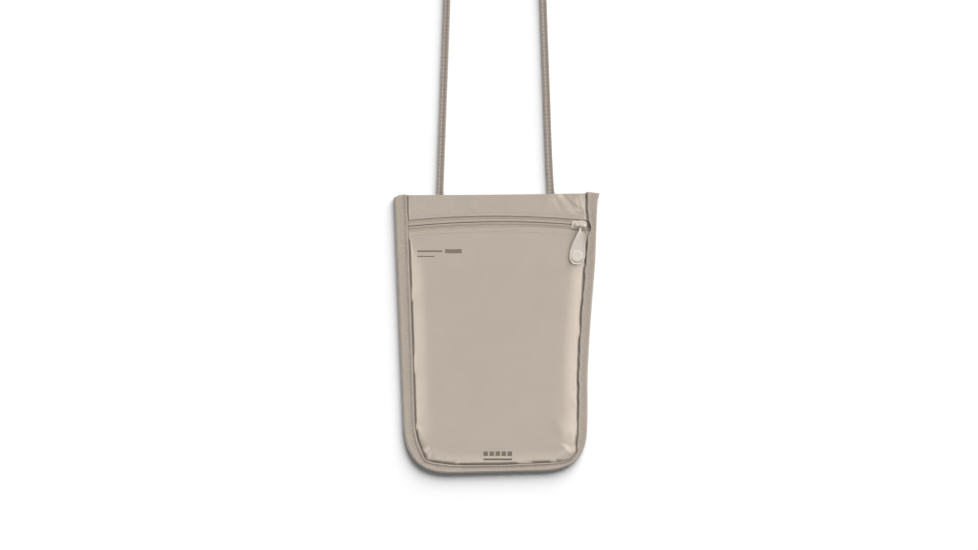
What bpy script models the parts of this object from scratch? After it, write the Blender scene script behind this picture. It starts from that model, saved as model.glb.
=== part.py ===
"""Neck pouch wallet, lying on its back: a flat fabric pouch with an arched zip and a neck cord.

Frame: +X across the pouch, +Y up the pouch towards its neck cord, +Z out of the front panel.
The origin is the middle of the pouch's footprint, on the surface that it lies on.
Lengths at the top of the file are in millimetres; MM turns them into metres.
"""

import math

import bmesh
import bpy
from mathutils import Matrix, Vector
from mathutils.geometry import interpolate_bezier

MM = 0.001

# ---------------------------------------------------------------- driving dimensions, in mm

# The pouch's outer edge as Bezier stretches: (knot, handle, handle, knot), the binding's width
# at both ends, how much narrower it gets half way, and the number of steps.
LEFT_EDGE = [
    ((-69.7, 93.8), (-67.6, 41.9), (-65.5, -10.1), (-63.4, -62.0), 8.7, 7.9, -0.3, 12),
    ((-63.4, -62.0), (-62.4, -86.0), (-52.0, -95.9), (-30.0, -95.7), 7.9, 6.6, 1.8, 7),
]
RIGHT_EDGE = [
    ((69.7, 95.1), (68.2, 82.0), (68.4, 60.0), (67.2, 44.0), 8.1, 6.7, 1.4, 4),
    ((67.2, 44.0), (66.0, 28.0), (62.3, -12.0), (62.3, -38.0), 6.7, 6.1, 0.0, 5),
    ((62.3, -38.0), (62.4, -48.0), (62.5, -56.0), (62.1, -64.0), 6.1, 6.2, 0.0, 3),
    ((62.1, -64.0), (62.0, -86.0), (51.0, -93.6), (32.0, -94.2), 6.2, 5.4, 1.5, 7),
]
BOTTOM_STEPS = 5

# Layers, from the surface up. Neighbouring layers are GAP apart.
GAP = 0.25
BINDING_THICKNESS = 0.4
PANEL_THICKNESS = 0.4
LINING_THICKNESS = 0.2
TAPE_THICKNESS = 0.3
BACK_Z = BINDING_THICKNESS + GAP
LINING_Z = BACK_Z + PANEL_THICKNESS + GAP
SLIDER_LOW_Z = LINING_Z + LINING_THICKNESS + GAP
SLIDER_LOW_THICKNESS = 0.4
COIL_RADIUS = 0.45
COIL_Z = SLIDER_LOW_Z + SLIDER_LOW_THICKNESS + 0.2 + COIL_RADIUS
TAPE_Z = COIL_Z + COIL_RADIUS + 0.2
PANEL_Z = TAPE_Z + TAPE_THICKNESS + GAP
BINDING_TOP_Z = PANEL_Z + PANEL_THICKNESS + GAP + BINDING_THICKNESS

# The pillow of the front panel and the slope of the strip above the zip.
CROWN_RISE = 2.4
SIDE_SLOPE = 10.0
ZIP_SLOPE = 24.0
TOP_SEAM_Z = BACK_Z + PANEL_THICKNESS + GAP
TOP_STRIP_Y = 84.0
PANEL_INSET = 1.7
LINING_INSET = 2.0

# Zip: concentric arcs, measured from its centre line, + towards the cord.
ZIP_RADIUS = 620.0
ZIP_TOP_Y = 75.8
ZIP_HALF_GAP = 0.5
UPPER_LIP = 4.1
LOWER_LIP = -3.7
UPPER_STITCH = 6.2
LOWER_STITCH = -7.0
UPPER_TAPE_EDGE = 6.8
POCKET_ARCS = [-8.2, -13.0, -18.0, -24.0, -31.0]
POCKET_ROWS = 8
ROW_END_X = 62.0
POCKET_COLUMNS = 12
LOWER_TAPE_EDGE = -7.6
ZIP_STEPS = 20
ZIP_END_LEFT = -65.6
ZIP_END_RIGHT = 65.4
COIL_END = 61.5

# Slider and pull, in their own frame: s along the zip, n across it.
SLIDER_X = 56.6
SLIDER_LENGTH = 10.4
SLIDER_NOSE_HALF = 3.3
SLIDER_TAIL_HALF = 2.8
SLIDER_TOP_THICKNESS = 0.65
SLIDER_TAIL_CORNER = 0.6
SLIDER_WIDENS = (-1.5, 1.2)
SLIDER_NOSE_CORNER = 1.8
SLIDER_LOW_INSET = 0.2
FLANGE_CENTRE = 2.49
FLANGE_LENGTH = 6.4
FLANGE_THICKNESS = 0.55
FLANGE_HEIGHT = 1.0
POST_AT = 3.0
POST_LENGTH = 3.0
POST_THICKNESS = 0.6
BAR_RADIUS = 0.6
BAR_FEET = (-2.6, 4.2)
FOOT_CLEARANCE = 0.15
SOCKET_DEPTH = 0.35
UNION_OVERLAP = 0.2
EYE_S = 0.9
EYE_INNER = 0.85
EYE_OUTER = 1.5
EYE_WIDTH = 1.4
SLIDER_PLATE_TOP = PANEL_Z + SLIDER_TOP_THICKNESS
BAR_Z = SLIDER_PLATE_TOP + 0.3 + EYE_OUTER
PULL_RISE = 1.15
PULL_THICKNESS = 1.0
PULL_START = 1.0
PULL_LENGTH = 27.1
PULL_NECK = 0.75
PULL_HALF = 5.75
# Half the pull's outline as Bezier stretches: (distance from the hinge, half width).
PULL_SIDE = [
    ((0.0, PULL_NECK), (1.2, PULL_NECK), (2.3, PULL_NECK), (3.5, PULL_NECK)),
    ((3.5, PULL_NECK), (7.4, 2.3), (14.2, PULL_HALF), (20.5, PULL_HALF)),
    ((20.5, PULL_HALF), (24.1, PULL_HALF), (PULL_LENGTH, 3.6), (PULL_LENGTH, 0.0)),
]
DISC_RADIUS = 4.1
DISC_AT = 21.2
DISC_RECESS = 0.45
DISC_PROUD = 0.5
DISC_CLEARANCE = 0.2

# Neck cord, its sewn ends, and its stored length wound into a coil.
CORD_DIAMETER = 4.7
ANCHOR_SIZE = (6.2, 9.2, 1.9)
ANCHOR_RISE_FROM = 12.0
ANCHOR_RISE_OVER = 6.0
CORD_LEFT_ROUTE = [(-38.2, 94.1), (-37.4, 115.0), (-36.6, 137.0), (-35.8, 158.4),
                   (-34.8, 186.0), (-33.6, 220.0), (-32.6, 254.0), (-32.2, 272.8)]
CORD_RIGHT_ROUTE = [(37.3, 94.8), (36.2, 115.0), (35.3, 137.0), (34.6, 158.4),
                    (33.6, 186.0), (32.4, 220.0), (31.4, 254.0), (31.0, 272.8)]
COIL_CENTRE = (-0.6, 291.0)
COIL_OUTER_TURN = 31.6
COIL_TURNS = 4.5
COIL_LAYERS = 2
TIE_THICKNESS = 0.35
TIE_WIDTH = 7.0

# Stitching threads, laid on the cloth as one run each.
THREAD_RADIUS = 0.2
BINDING_STITCH = 0.63

# ---------------------------------------------------------------- materials

MATERIALS = {
    "pouch_fabric": ((0.47, 0.40, 0.33), 0.55, 0.0),
    "binding_tape": ((0.41, 0.34, 0.28), 0.70, 0.0),
    "lining": ((0.55, 0.56, 0.58), 0.35, 0.2),
    "zip_tape": ((0.38, 0.32, 0.26), 0.75, 0.0),
    "zip_coil": ((0.33, 0.28, 0.23), 0.45, 0.0),
    "thread": ((0.50, 0.43, 0.36), 0.80, 0.0),
    "slider_metal": ((0.62, 0.56, 0.49), 0.30, 0.6),
    "pull_enamel": ((0.63, 0.57, 0.50), 0.40, 0.0),
    "cord": ((0.34, 0.31, 0.28), 0.85, 0.0),
    "tie": ((0.10, 0.10, 0.10), 0.70, 0.0),
}


def material(name):
    """The named Principled material, made on first use."""
    found = bpy.data.materials.get(name)
    if found:
        return found
    color, roughness, metallic = MATERIALS[name]
    made = bpy.data.materials.new(name)
    made.use_nodes = True
    shader = made.node_tree.nodes["Principled BSDF"]
    shader.inputs["Base Color"].default_value = (*color, 1.0)
    shader.inputs["Roughness"].default_value = roughness
    shader.inputs["Metallic"].default_value = metallic
    return made


# ---------------------------------------------------------------- scene and object helpers

def clear_scene():
    for obj in list(bpy.data.objects):
        bpy.data.objects.remove(obj)


def new_collection(name):
    made = bpy.data.collections.new(name)
    bpy.context.scene.collection.children.link(made)
    return made


clear_scene()
POUCH = new_collection("neck_pouch_wallet")
CUTTERS = new_collection("cutters")


def add_object(name, data, material_name, collection=None):
    obj = bpy.data.objects.new(name, data)
    (collection or POUCH).objects.link(obj)
    if material_name:
        data.materials.append(material(material_name))
    return obj


def mesh_object(name, bm, material_name, collection=None):
    mesh = bpy.data.meshes.new(name)
    bm.to_mesh(mesh)
    bm.free()
    return add_object(name, mesh, material_name, collection)


def add_cutter(name, bm):
    cutter = mesh_object(name, bm, None, CUTTERS)
    cutter.hide_render = True
    cutter.display_type = "WIRE"
    return cutter


def solidify(obj, thickness):
    """Gives an open sheet its thickness, upwards from where it lies."""
    modifier = obj.modifiers.new("thickness", "SOLIDIFY")
    modifier.thickness = thickness * MM
    modifier.offset = 1.0
    return modifier


def bevel(obj, width, segments=2):
    modifier = obj.modifiers.new("edges", "BEVEL")
    modifier.width = width * MM
    modifier.segments = segments
    modifier.limit_method = "ANGLE"
    modifier.angle_limit = math.radians(40)


def boolean(obj, other, operation):
    modifier = obj.modifiers.new(operation.lower(), "BOOLEAN")
    modifier.operation = operation
    modifier.object = other
    modifier.solver = "EXACT"


def smooth_shade(obj, angle=35):
    obj.data.shade_smooth()
    obj.data.set_sharp_from_angle(angle=math.radians(angle))


def surface_grid(name, columns, rows, place, material_name):
    """An open sheet of columns x rows cells; place(u, v) gives each corner in mm, u and v in 0..1."""
    bm = bmesh.new()
    bmesh.ops.create_grid(bm, x_segments=columns, y_segments=rows, size=0.5)
    for vert in bm.verts:
        vert.co = Vector(place(vert.co.x + 0.5, vert.co.y + 0.5)) * MM
    bmesh.ops.recalc_face_normals(bm, faces=bm.faces[:])
    if sum(face.normal.z * face.calc_area() for face in bm.faces) < 0:
        bmesh.ops.reverse_faces(bm, faces=bm.faces[:])
    return mesh_object(name, bm, material_name)


def flat_piece(name, outlines, thickness, base_z, material_name, collection=None):
    """A flat plate from closed outlines in mm, outer one first, its underside at base_z."""
    curve = bpy.data.curves.new(name, "CURVE")
    curve.dimensions = "2D"
    curve.fill_mode = "BOTH"
    curve.extrude = thickness * MM / 2
    for outline in outlines:
        spline = curve.splines.new("POLY")
        spline.points.add(len(outline) - 1)
        spline.use_cyclic_u = True
        for point, (x, y) in zip(spline.points, outline):
            point.co = (x * MM, y * MM, 0, 1)
    obj = add_object(name, curve, material_name, collection)
    obj.location.z = (base_z + thickness / 2) * MM
    return obj


def tube(name, points, radius, material_name, sides=2):
    """A round tube through the points, in mm, with closed ends."""
    curve = bpy.data.curves.new(name, "CURVE")
    curve.dimensions = "3D"
    curve.bevel_depth = radius * MM
    curve.bevel_resolution = sides
    curve.use_fill_caps = True
    spline = curve.splines.new("POLY")
    spline.points.add(len(points) - 1)
    for point, place in zip(spline.points, points):
        point.co = (*(Vector(place) * MM), 1)
    return add_object(name, curve, material_name)


def curve_to_mesh(obj):
    """Replaces a curve object by a closed mesh object of the same name and place."""
    evaluated = obj.evaluated_get(bpy.context.evaluated_depsgraph_get())
    mesh = bpy.data.meshes.new_from_object(evaluated)
    bm = bmesh.new()
    bm.from_mesh(mesh)
    bmesh.ops.remove_doubles(bm, verts=bm.verts[:], dist=0.001 * MM)
    bmesh.ops.recalc_face_normals(bm, faces=bm.faces[:])
    bm.to_mesh(mesh)
    bm.free()
    name, matrix, collection = obj.name, obj.matrix_world.copy(), obj.users_collection[0]
    bpy.data.objects.remove(obj)
    made = bpy.data.objects.new(name, mesh)
    collection.objects.link(made)
    made.matrix_world = matrix
    return made


def box_bm(size, centre):
    bm = bmesh.new()
    bmesh.ops.create_cube(bm, size=1.0)
    for vert in bm.verts:
        vert.co = Vector([c * s + m for c, s, m in zip(vert.co, size, centre)]) * MM
    return bm


def cylinder_bm(radius, length, centre, axis="Z", sides=32):
    """A closed cylinder in mm about a row axis."""
    bm = bmesh.new()
    bmesh.ops.create_cone(bm, cap_ends=True, segments=sides, radius1=radius * MM,
                          radius2=radius * MM, depth=length * MM)
    if axis == "X":
        bmesh.ops.rotate(bm, verts=bm.verts[:], matrix=Matrix.Rotation(math.pi / 2, 3, "Y"))
    bmesh.ops.translate(bm, verts=bm.verts[:], vec=Vector(centre) * MM)
    return bm


# ---------------------------------------------------------------- the pouch's outline

def smoothstep(value):
    value = min(max(value, 0.0), 1.0)
    return value * value * (3 - 2 * value)


def edge_stations(stretches):
    """Points down one side of the pouch, from the top to the bottom edge, as (x, y, binding width)."""
    stations = []
    for start, handle_a, handle_b, end, width_a, width_b, dip, steps in stretches:
        points = interpolate_bezier(*[Vector((*p, 0)) for p in (start, handle_a, handle_b, end)],
                                    steps + 1)
        for i, point in enumerate(points):
            if stations and i == 0:
                continue
            t = i / steps
            width = width_a + (width_b - width_a) * t - dip * math.sin(math.pi * t)
            stations.append((point.x, point.y, width))
    return stations


LEFT = edge_stations(LEFT_EDGE)
RIGHT = edge_stations(RIGHT_EDGE)


def whole_edge():
    """The bound edge from the top left corner, round the bottom, to the top right corner."""
    a, b = LEFT[-1], RIGHT[-1]
    bottom = [tuple(p + (q - p) * i / BOTTOM_STEPS for p, q in zip(a, b))
              for i in range(1, BOTTOM_STEPS)]
    return LEFT + bottom + RIGHT[::-1]


EDGE = whole_edge()


def inward_normals(points):
    normals = []
    for i in range(len(points)):
        before = Vector(points[max(i - 1, 0)][:2])
        after = Vector(points[min(i + 1, len(points) - 1)][:2])
        along = (after - before).normalized()
        normals.append(Vector((-along.y, along.x)))
    return normals


NORMALS = inward_normals(EDGE)


def edge_point(index, inset):
    """The point of the bound edge moved inwards by inset mm."""
    return Vector(EDGE[index][:2]) + NORMALS[index] * inset


INNER_LINE = [edge_point(i, EDGE[i][2]) for i in range(len(EDGE))]


def depth_inside(x, y):
    """How far a point lies inside the binding's inner line, negative under the binding."""
    here = Vector((x, y))
    best, sign = 1e9, 1.0
    for a, b in zip(INNER_LINE, INNER_LINE[1:]):
        along = b - a
        t = min(max((here - a).dot(along) / along.length_squared, 0.0), 1.0)
        away = here - (a + along * t)
        if away.length < best:
            best = away.length
            sign = 1.0 if along.x * away.y - along.y * away.x >= 0 else -1.0
    return best * sign


def side_x(side, y, inset):
    """Where a side, moved inwards by inset mm, crosses the height y."""
    count = len(LEFT)
    indices = range(count) if side == "left" else range(len(EDGE) - 1, len(EDGE) - 1 - count, -1)
    points = [edge_point(i, inset) for i in indices]
    for a, b in zip(points, points[1:]):
        if b.y <= y <= a.y:
            return a.x + (b.x - a.x) * (a.y - y) / (a.y - b.y)
    return points[0].x + (points[1].x - points[0].x) * (points[0].y - y) / (points[0].y - points[1].y)


def inner_x(side, y):
    """Where the binding's inner line crosses the height y."""
    half = len(INNER_LINE) // 2
    line = INNER_LINE[:half] if side == "left" else INNER_LINE[:half:-1]
    for a, b in zip(line, line[1:]):
        if b.y <= y <= a.y:
            return a.x + (b.x - a.x) * (a.y - y) / (a.y - b.y)
    return line[0].x


def top_edge_y(x):
    """The top seam: lowest on the left, rising to the right corner."""
    left, right = EDGE[0], EDGE[-1]
    u = (x - left[0]) / (right[0] - left[0])
    return left[1] + (right[1] - left[1]) * u * u


def zip_y(x, offset):
    """The height of the arc that lies offset mm from the zip's centre line."""
    radius = ZIP_RADIUS + offset
    return ZIP_TOP_Y - ZIP_RADIUS + math.sqrt(radius * radius - x * x)


# ---------------------------------------------------------------- panels and linings

def front_rise(x, y):
    """How far the filled front panel stands above its edge."""
    below_stitch = zip_y(x, POCKET_ARCS[0]) - y
    return CROWN_RISE * smoothstep(depth_inside(x, y) / SIDE_SLOPE) * smoothstep(below_stitch / ZIP_SLOPE)


def pocket_columns(edge_a, inner_a, inner_b, edge_b):
    """A row's points: both edges, both ends of the binding's inner line, and the pillow between."""
    points = [edge_a]
    for i in range(POCKET_COLUMNS + 1):
        turn = math.cos(math.pi * i / POCKET_COLUMNS)
        points.append(inner_a.lerp(inner_b, 0.5 - 0.5 * turn * (0.5 + 0.5 * abs(turn))))
    points.append(edge_b)
    return points


def pocket_rows(inset, offsets):
    """Rows of points from an arc of the zip down to the bottom edge."""
    corner_y = LEFT_EDGE[0][3][1]
    arcs_end = zip_y(ROW_END_X, offsets[-1])
    levels = [zip_y(ROW_END_X, offset) for offset in offsets]
    levels += [arcs_end + (corner_y - arcs_end) * i / POCKET_ROWS for i in range(1, POCKET_ROWS + 1)]
    rows = []
    for level, y in enumerate(levels):
        ends = [Vector((side_x("left", y, inset), y)), Vector((inner_x("left", y), y)),
                Vector((inner_x("right", y), y)), Vector((side_x("right", y, inset), y))]
        row = pocket_columns(*ends)
        flatten = max(0.0, (levels[0] - y) / (levels[0] - corner_y))
        for point in row:
            point.y += (zip_y(point.x, 0) - zip_y(ROW_END_X, 0)) * (1 - flatten) ** 2
        rows.append(row)
    for i in range(len(LEFT) - LEFT_EDGE[1][7], len(LEFT)):
        j = len(EDGE) - 1 - i
        rows.append(pocket_columns(edge_point(i, inset), INNER_LINE[i], INNER_LINE[j],
                                   edge_point(j, inset)))
    for column, point in enumerate(rows[-1]):
        share = column / (len(rows[-1]) - 1)
        point.xy = edge_point(len(LEFT) - 1, inset).lerp(edge_point(len(EDGE) - len(LEFT), inset), share)
    return rows


def pocket_sheet(name, inset, offsets, base_z, thickness, material_name):
    rows = pocket_rows(inset, offsets)
    columns = len(rows[0]) - 1

    def place(u, v):
        point = rows[round(v * (len(rows) - 1))][round(u * columns)]
        return point.x, point.y, base_z + front_rise(point.x, point.y)

    sheet = surface_grid(name, columns, len(rows) - 1, place, material_name)
    solidify(sheet, thickness)
    smooth_shade(sheet)


def make_front_panel():
    pocket_sheet("front_panel", PANEL_INSET, [LOWER_LIP, LOWER_STITCH] + POCKET_ARCS, PANEL_Z,
                 PANEL_THICKNESS, "pouch_fabric")


def make_front_lining():
    pocket_sheet("front_lining", LINING_INSET, POCKET_ARCS, PANEL_Z - GAP - LINING_THICKNESS,
                 LINING_THICKNESS, "lining")


def back_outline(inset, top_line):
    points = [edge_point(i, inset) for i in range(len(EDGE))]
    points = [p for p in points if p.y < top_line(p.x) - 1.0]
    left_x = side_x("left", top_line(-ROW_END_X), inset)
    right_x = side_x("right", top_line(ROW_END_X), inset)
    steps = 8
    top = [right_x + (left_x - right_x) * i / steps for i in range(steps + 1)]
    return [tuple(p) for p in points] + [(x, top_line(x)) for x in top]


def make_back_panel():
    outline = back_outline(PANEL_INSET, top_edge_y)
    flat_piece("back_panel", [outline], PANEL_THICKNESS, BACK_Z, "pouch_fabric")


def make_back_lining():
    outline = back_outline(LINING_INSET, lambda x: zip_y(x, UPPER_TAPE_EDGE))
    flat_piece("back_lining", [outline], LINING_THICKNESS, LINING_Z, "lining")


def anchor_x(side):
    return CORD_LEFT_ROUTE[0][0] if side == "left" else CORD_RIGHT_ROUTE[0][0]


def top_panel_z(x, y):
    """The strip above the zip slopes down to the top seam and rises over the two sewn cord ends."""
    stitch = zip_y(x, UPPER_STITCH)
    down = smoothstep((y - stitch) / (top_edge_y(x) - stitch))
    slope = PANEL_Z + (TOP_SEAM_Z - PANEL_Z) * down
    over_anchor = TOP_SEAM_Z + ANCHOR_SIZE[2] + 2 * GAP
    for side in ("left", "right"):
        away = abs(x - anchor_x(side))
        rise = smoothstep((ANCHOR_RISE_FROM - away) / ANCHOR_RISE_OVER)
        slope = max(slope, TOP_SEAM_Z + (over_anchor - TOP_SEAM_Z) * rise)
    return min(slope, PANEL_Z)


def make_top_panel():
    def place(u, v):
        left_x, right_x = [side_x(side, TOP_STRIP_Y, PANEL_INSET) for side in ("left", "right")]
        x = left_x + (right_x - left_x) * u
        y = top_edge_y(x) + (zip_y(x, UPPER_LIP) - top_edge_y(x)) * v
        x += (side_x("left", y, PANEL_INSET) - left_x) * max(0.0, 1 - 4 * u)
        x += (side_x("right", y, PANEL_INSET) - right_x) * max(0.0, 4 * u - 3)
        return x, y, top_panel_z(x, y)

    panel = surface_grid("top_panel", 34, 6, place, "pouch_fabric")
    solidify(panel, PANEL_THICKNESS)
    smooth_shade(panel)


# ---------------------------------------------------------------- edge binding and its thread

def make_binding():
    """One tape folded round the edge of every layer, from the top left to the top right corner."""
    last = len(EDGE) - 1
    top = BINDING_TOP_Z
    fold = top / 2
    section = [(1.0, 0.0), (0.5, 0.0)]
    section += [(None, -math.pi / 2 + math.pi * i / 6) for i in range(7)]
    section += [(0.5, top), (1.0, top)]

    def place(u, v):
        index = round(v * last)
        width = EDGE[index][2]
        share, level = section[round(u * (len(section) - 1))]
        if share is None:
            inset = fold * 0.5 * (1 - math.cos(level))
            z = fold * (1 + math.sin(level))
        else:
            inset = width * share
            z = level
        point = edge_point(index, inset)
        return point.x, point.y, z

    binding = surface_grid("edge_binding", len(section) - 1, last, place, "binding_tape")
    lowest = min(binding.data.polygons, key=lambda face: face.center.z)
    if lowest.normal.z > 0:
        binding.data.flip_normals()
    modifier = solidify(binding, BINDING_THICKNESS)
    modifier.offset = -1.0
    smooth_shade(binding)


def make_binding_thread():
    z = BINDING_TOP_Z + THREAD_RADIUS + 0.05
    points = []
    for i in range(len(EDGE)):
        place = edge_point(i, EDGE[i][2] * BINDING_STITCH)
        points.append((place.x, place.y, z))
    tube("binding_thread", points, THREAD_RADIUS, "thread", sides=0)


# ---------------------------------------------------------------- zip

def zip_xs(left, right, steps=ZIP_STEPS):
    return [left + (right - left) * i / steps for i in range(steps + 1)]


def make_zip_tape(name, inner, outer):
    def place(u, v):
        x = ZIP_END_LEFT + (ZIP_END_RIGHT - ZIP_END_LEFT) * u
        return x, zip_y(x, inner + (outer - inner) * v), TAPE_Z

    tape = surface_grid(name, ZIP_STEPS, 1, place, "zip_tape")
    solidify(tape, TAPE_THICKNESS)


def make_zip_coil(name, offset):
    points = [(x, zip_y(x, offset), COIL_Z) for x in zip_xs(-COIL_END, COIL_END, 2 * ZIP_STEPS)]
    tube(name, points, COIL_RADIUS, "zip_coil", sides=1)


def make_zip_thread(name, offset):
    z = PANEL_Z + PANEL_THICKNESS + THREAD_RADIUS + 0.05
    left, right = [inner_x(side, zip_y(ROW_END_X, offset)) for side in ("left", "right")]
    points = [(x, zip_y(x, offset), z) for x in zip_xs(left + 0.4, right - 0.4)]
    tube(name, points, THREAD_RADIUS, "thread", sides=0)


def make_zip():
    make_zip_tape("zip_tape_upper", ZIP_HALF_GAP, UPPER_TAPE_EDGE)
    make_zip_tape("zip_tape_lower", -ZIP_HALF_GAP, LOWER_TAPE_EDGE)
    make_zip_coil("zip_coil_upper", ZIP_HALF_GAP + COIL_RADIUS)
    make_zip_coil("zip_coil_lower", -ZIP_HALF_GAP - COIL_RADIUS)
    make_zip_thread("zip_thread_upper", UPPER_STITCH)
    make_zip_thread("zip_thread_lower", LOWER_STITCH)


# ---------------------------------------------------------------- slider and pull

def slider_outline(shrink=0.0):
    """The slider's plate from above: a narrow tail on the left, a wide two-lobed nose on the right."""
    half = SLIDER_LENGTH / 2 - shrink
    nose, tail = SLIDER_NOSE_HALF - shrink, SLIDER_TAIL_HALF - shrink
    widens, wide = SLIDER_WIDENS
    upper = [(-half, 0.0), (-half, tail * 0.75), (-half + SLIDER_TAIL_CORNER, tail), (widens, tail),
             (wide, nose), (half - SLIDER_NOSE_CORNER, nose), (half - 0.5, nose * 0.72), (half, nose * 0.35)]
    lower = [(s, -n) for s, n in upper[:0:-1]]
    return upper + lower


def make_slider(frame):
    body = curve_to_mesh(flat_piece("slider_body", [slider_outline()], SLIDER_TOP_THICKNESS,
                                    PANEL_Z, "slider_metal"))
    plate = curve_to_mesh(flat_piece("slider_lower_plate", [slider_outline(SLIDER_LOW_INSET)],
                                     SLIDER_LOW_THICKNESS, SLIDER_LOW_Z, None, CUTTERS))
    plate.hide_render = True
    plate.display_type = "WIRE"
    base = SLIDER_LOW_Z + SLIDER_LOW_THICKNESS - UNION_OVERLAP
    post_height = PANEL_Z + UNION_OVERLAP - base
    flange_height = FLANGE_HEIGHT + UNION_OVERLAP
    post = box_bm((POST_LENGTH, POST_THICKNESS, post_height), (POST_AT, 0.0, base + post_height / 2))
    parts = [plate, add_cutter("slider_post", post)]
    for side in (-1, 1):
        flange = box_bm((FLANGE_LENGTH, FLANGE_THICKNESS, flange_height),
                        (0.0, side * FLANGE_CENTRE, base + flange_height / 2))
        parts.append(add_cutter(f"slider_flange_{side}", flange))
    for part in parts:
        boolean(body, part, "UNION")
    for foot in BAR_FEET:
        hole = add_cutter("bridge_socket", cylinder_bm(
            BAR_RADIUS + FOOT_CLEARANCE, 2 * SOCKET_DEPTH, (foot, 0.0, SLIDER_PLATE_TOP), sides=16))
        boolean(body, hole, "DIFFERENCE")
        parts.append(hole)
    for obj in [body] + parts:
        obj.parent = frame
        obj.location += Vector((0, ZIP_RADIUS * MM, 0))


def make_bridge(frame):
    """The arched bar that the pull hooks on, its feet set in the slider's plate."""
    start, end = BAR_FEET
    foot_z = SLIDER_PLATE_TOP - SOCKET_DEPTH + FOOT_CLEARANCE
    bend = 1.0
    points = [(start, 0, foot_z), (start, 0, BAR_Z - bend)]
    points += [(start + bend * (1 - math.cos(a)), 0, BAR_Z - bend * (1 - math.sin(a)))
               for a in [math.radians(d) for d in (30, 60, 90)]]
    points += [(end - bend * (1 - math.cos(a)), 0, BAR_Z - bend * (1 - math.sin(a)))
               for a in [math.radians(d) for d in (90, 60, 30)]]
    points += [(end, 0, BAR_Z - bend), (end, 0, foot_z)]
    bar = tube("slider_bridge", points, BAR_RADIUS, "slider_metal", sides=2)
    bar.parent = frame
    bar.location = (0, ZIP_RADIUS * MM, 0)


def pull_half_width(q):
    """Half the pull's width at q mm from its hinge: a narrow neck that widens to a round end."""
    for knots in PULL_SIDE:
        points = interpolate_bezier(*[Vector((*p, 0)) for p in knots], 24)
        for a, b in zip(points, points[1:]):
            if a.x <= q <= b.x:
                return a.y + (b.y - a.y) * (q - a.x) / (b.x - a.x)
    return 0.0


def make_pull(frame):
    """A teardrop tab with an eye round the bridge; it lies towards -n, its face up."""
    rows = 18
    reach = PULL_LENGTH - 0.25 - PULL_START

    def place(u, v):
        q = PULL_START + reach * (1 - (1 - v) ** 1.7)
        half = pull_half_width(q)
        rise = PULL_RISE * smoothstep((q - PULL_START) / 5.0)
        return half * (2 * u - 1), -q, rise - PULL_THICKNESS / 2

    tab = surface_grid("pull_tab", 4, rows, place, "pull_enamel")
    solidify(tab, PULL_THICKNESS)
    eye = add_cutter("pull_eye", cylinder_bm(EYE_OUTER, EYE_WIDTH, (0, 0, 0), "X", sides=24))
    boolean(tab, eye, "UNION")
    hole = add_cutter("pull_hole", cylinder_bm(EYE_INNER, EYE_WIDTH + 2, (0, 0, 0), "X", sides=20))
    boolean(tab, hole, "DIFFERENCE")
    recess_depth = DISC_RECESS + 0.5
    face_z = PULL_RISE + PULL_THICKNESS / 2
    recess = add_cutter("disc_recess", cylinder_bm(
        DISC_RADIUS + DISC_CLEARANCE, recess_depth,
        (0, -DISC_AT, face_z - DISC_RECESS + recess_depth / 2), sides=32))
    boolean(tab, recess, "DIFFERENCE")

    height = DISC_RECESS - DISC_CLEARANCE + DISC_PROUD
    disc = mesh_object("pull_disc", cylinder_bm(
        DISC_RADIUS, height, (0, -DISC_AT, face_z + DISC_PROUD - height / 2), sides=28),
        "pull_enamel")
    bevel(disc, 0.25, 2)
    smooth_shade(disc)
    for obj in (tab, eye, hole, recess, disc):
        obj.parent = frame


def make_slider_and_pull():
    travel = bpy.data.objects.new("zip_travel_axis", None)
    travel.location = (0, (ZIP_TOP_Y - ZIP_RADIUS) * MM, 0)
    travel.rotation_euler.z = -math.asin(SLIDER_X / ZIP_RADIUS)
    POUCH.objects.link(travel)
    hinge = bpy.data.objects.new("pull_hinge_axis", None)
    hinge.location = (EYE_S * MM, ZIP_RADIUS * MM, BAR_Z * MM)
    hinge.parent = travel
    POUCH.objects.link(hinge)
    make_slider(travel)
    make_bridge(travel)
    make_pull(hinge)


# ---------------------------------------------------------------- neck cord

def smooth_route(route, z, spacing):
    """Points every spacing mm along a smooth curve through the route's (x, y) points."""
    knots = [Vector((x, y, z)) for x, y in route]
    fine = []
    for i in range(len(knots) - 1):
        before = knots[max(i - 1, 0)]
        after = knots[min(i + 2, len(knots) - 1)]
        a, b = knots[i], knots[i + 1]
        fine += interpolate_bezier(a, a + (b - before) / 6, b - (after - a) / 6, b, 12)[:-1]
    fine.append(knots[-1])
    length = sum((b - a).length for a, b in zip(fine, fine[1:]))
    count = max(2, round(length / spacing))
    points, walked, target = [fine[0]], 0.0, length / count
    for a, b in zip(fine, fine[1:]):
        step = (b - a).length
        while walked + step >= target - 1e-6 and len(points) < count:
            points.append(a.lerp(b, (target - walked) / step))
            target += length / count
        walked += step
    points.append(fine[-1])
    return points


def make_cord_run(name, route):
    points = smooth_route(route, CORD_DIAMETER / 2, 2.5 * CORD_DIAMETER)
    tube(name, points, CORD_DIAMETER / 2, "cord")


def make_cord_anchor(name, x):
    """The flattened end of the cord, bar-tacked into the top seam."""
    width, length, thickness = ANCHOR_SIZE
    mouth = top_edge_y(x) - 0.2
    centre = (x, mouth - length / 2, TOP_SEAM_Z + thickness / 2)
    anchor = mesh_object(name, box_bm(ANCHOR_SIZE, centre), "cord")
    bevel(anchor, 0.5, 2)


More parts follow.
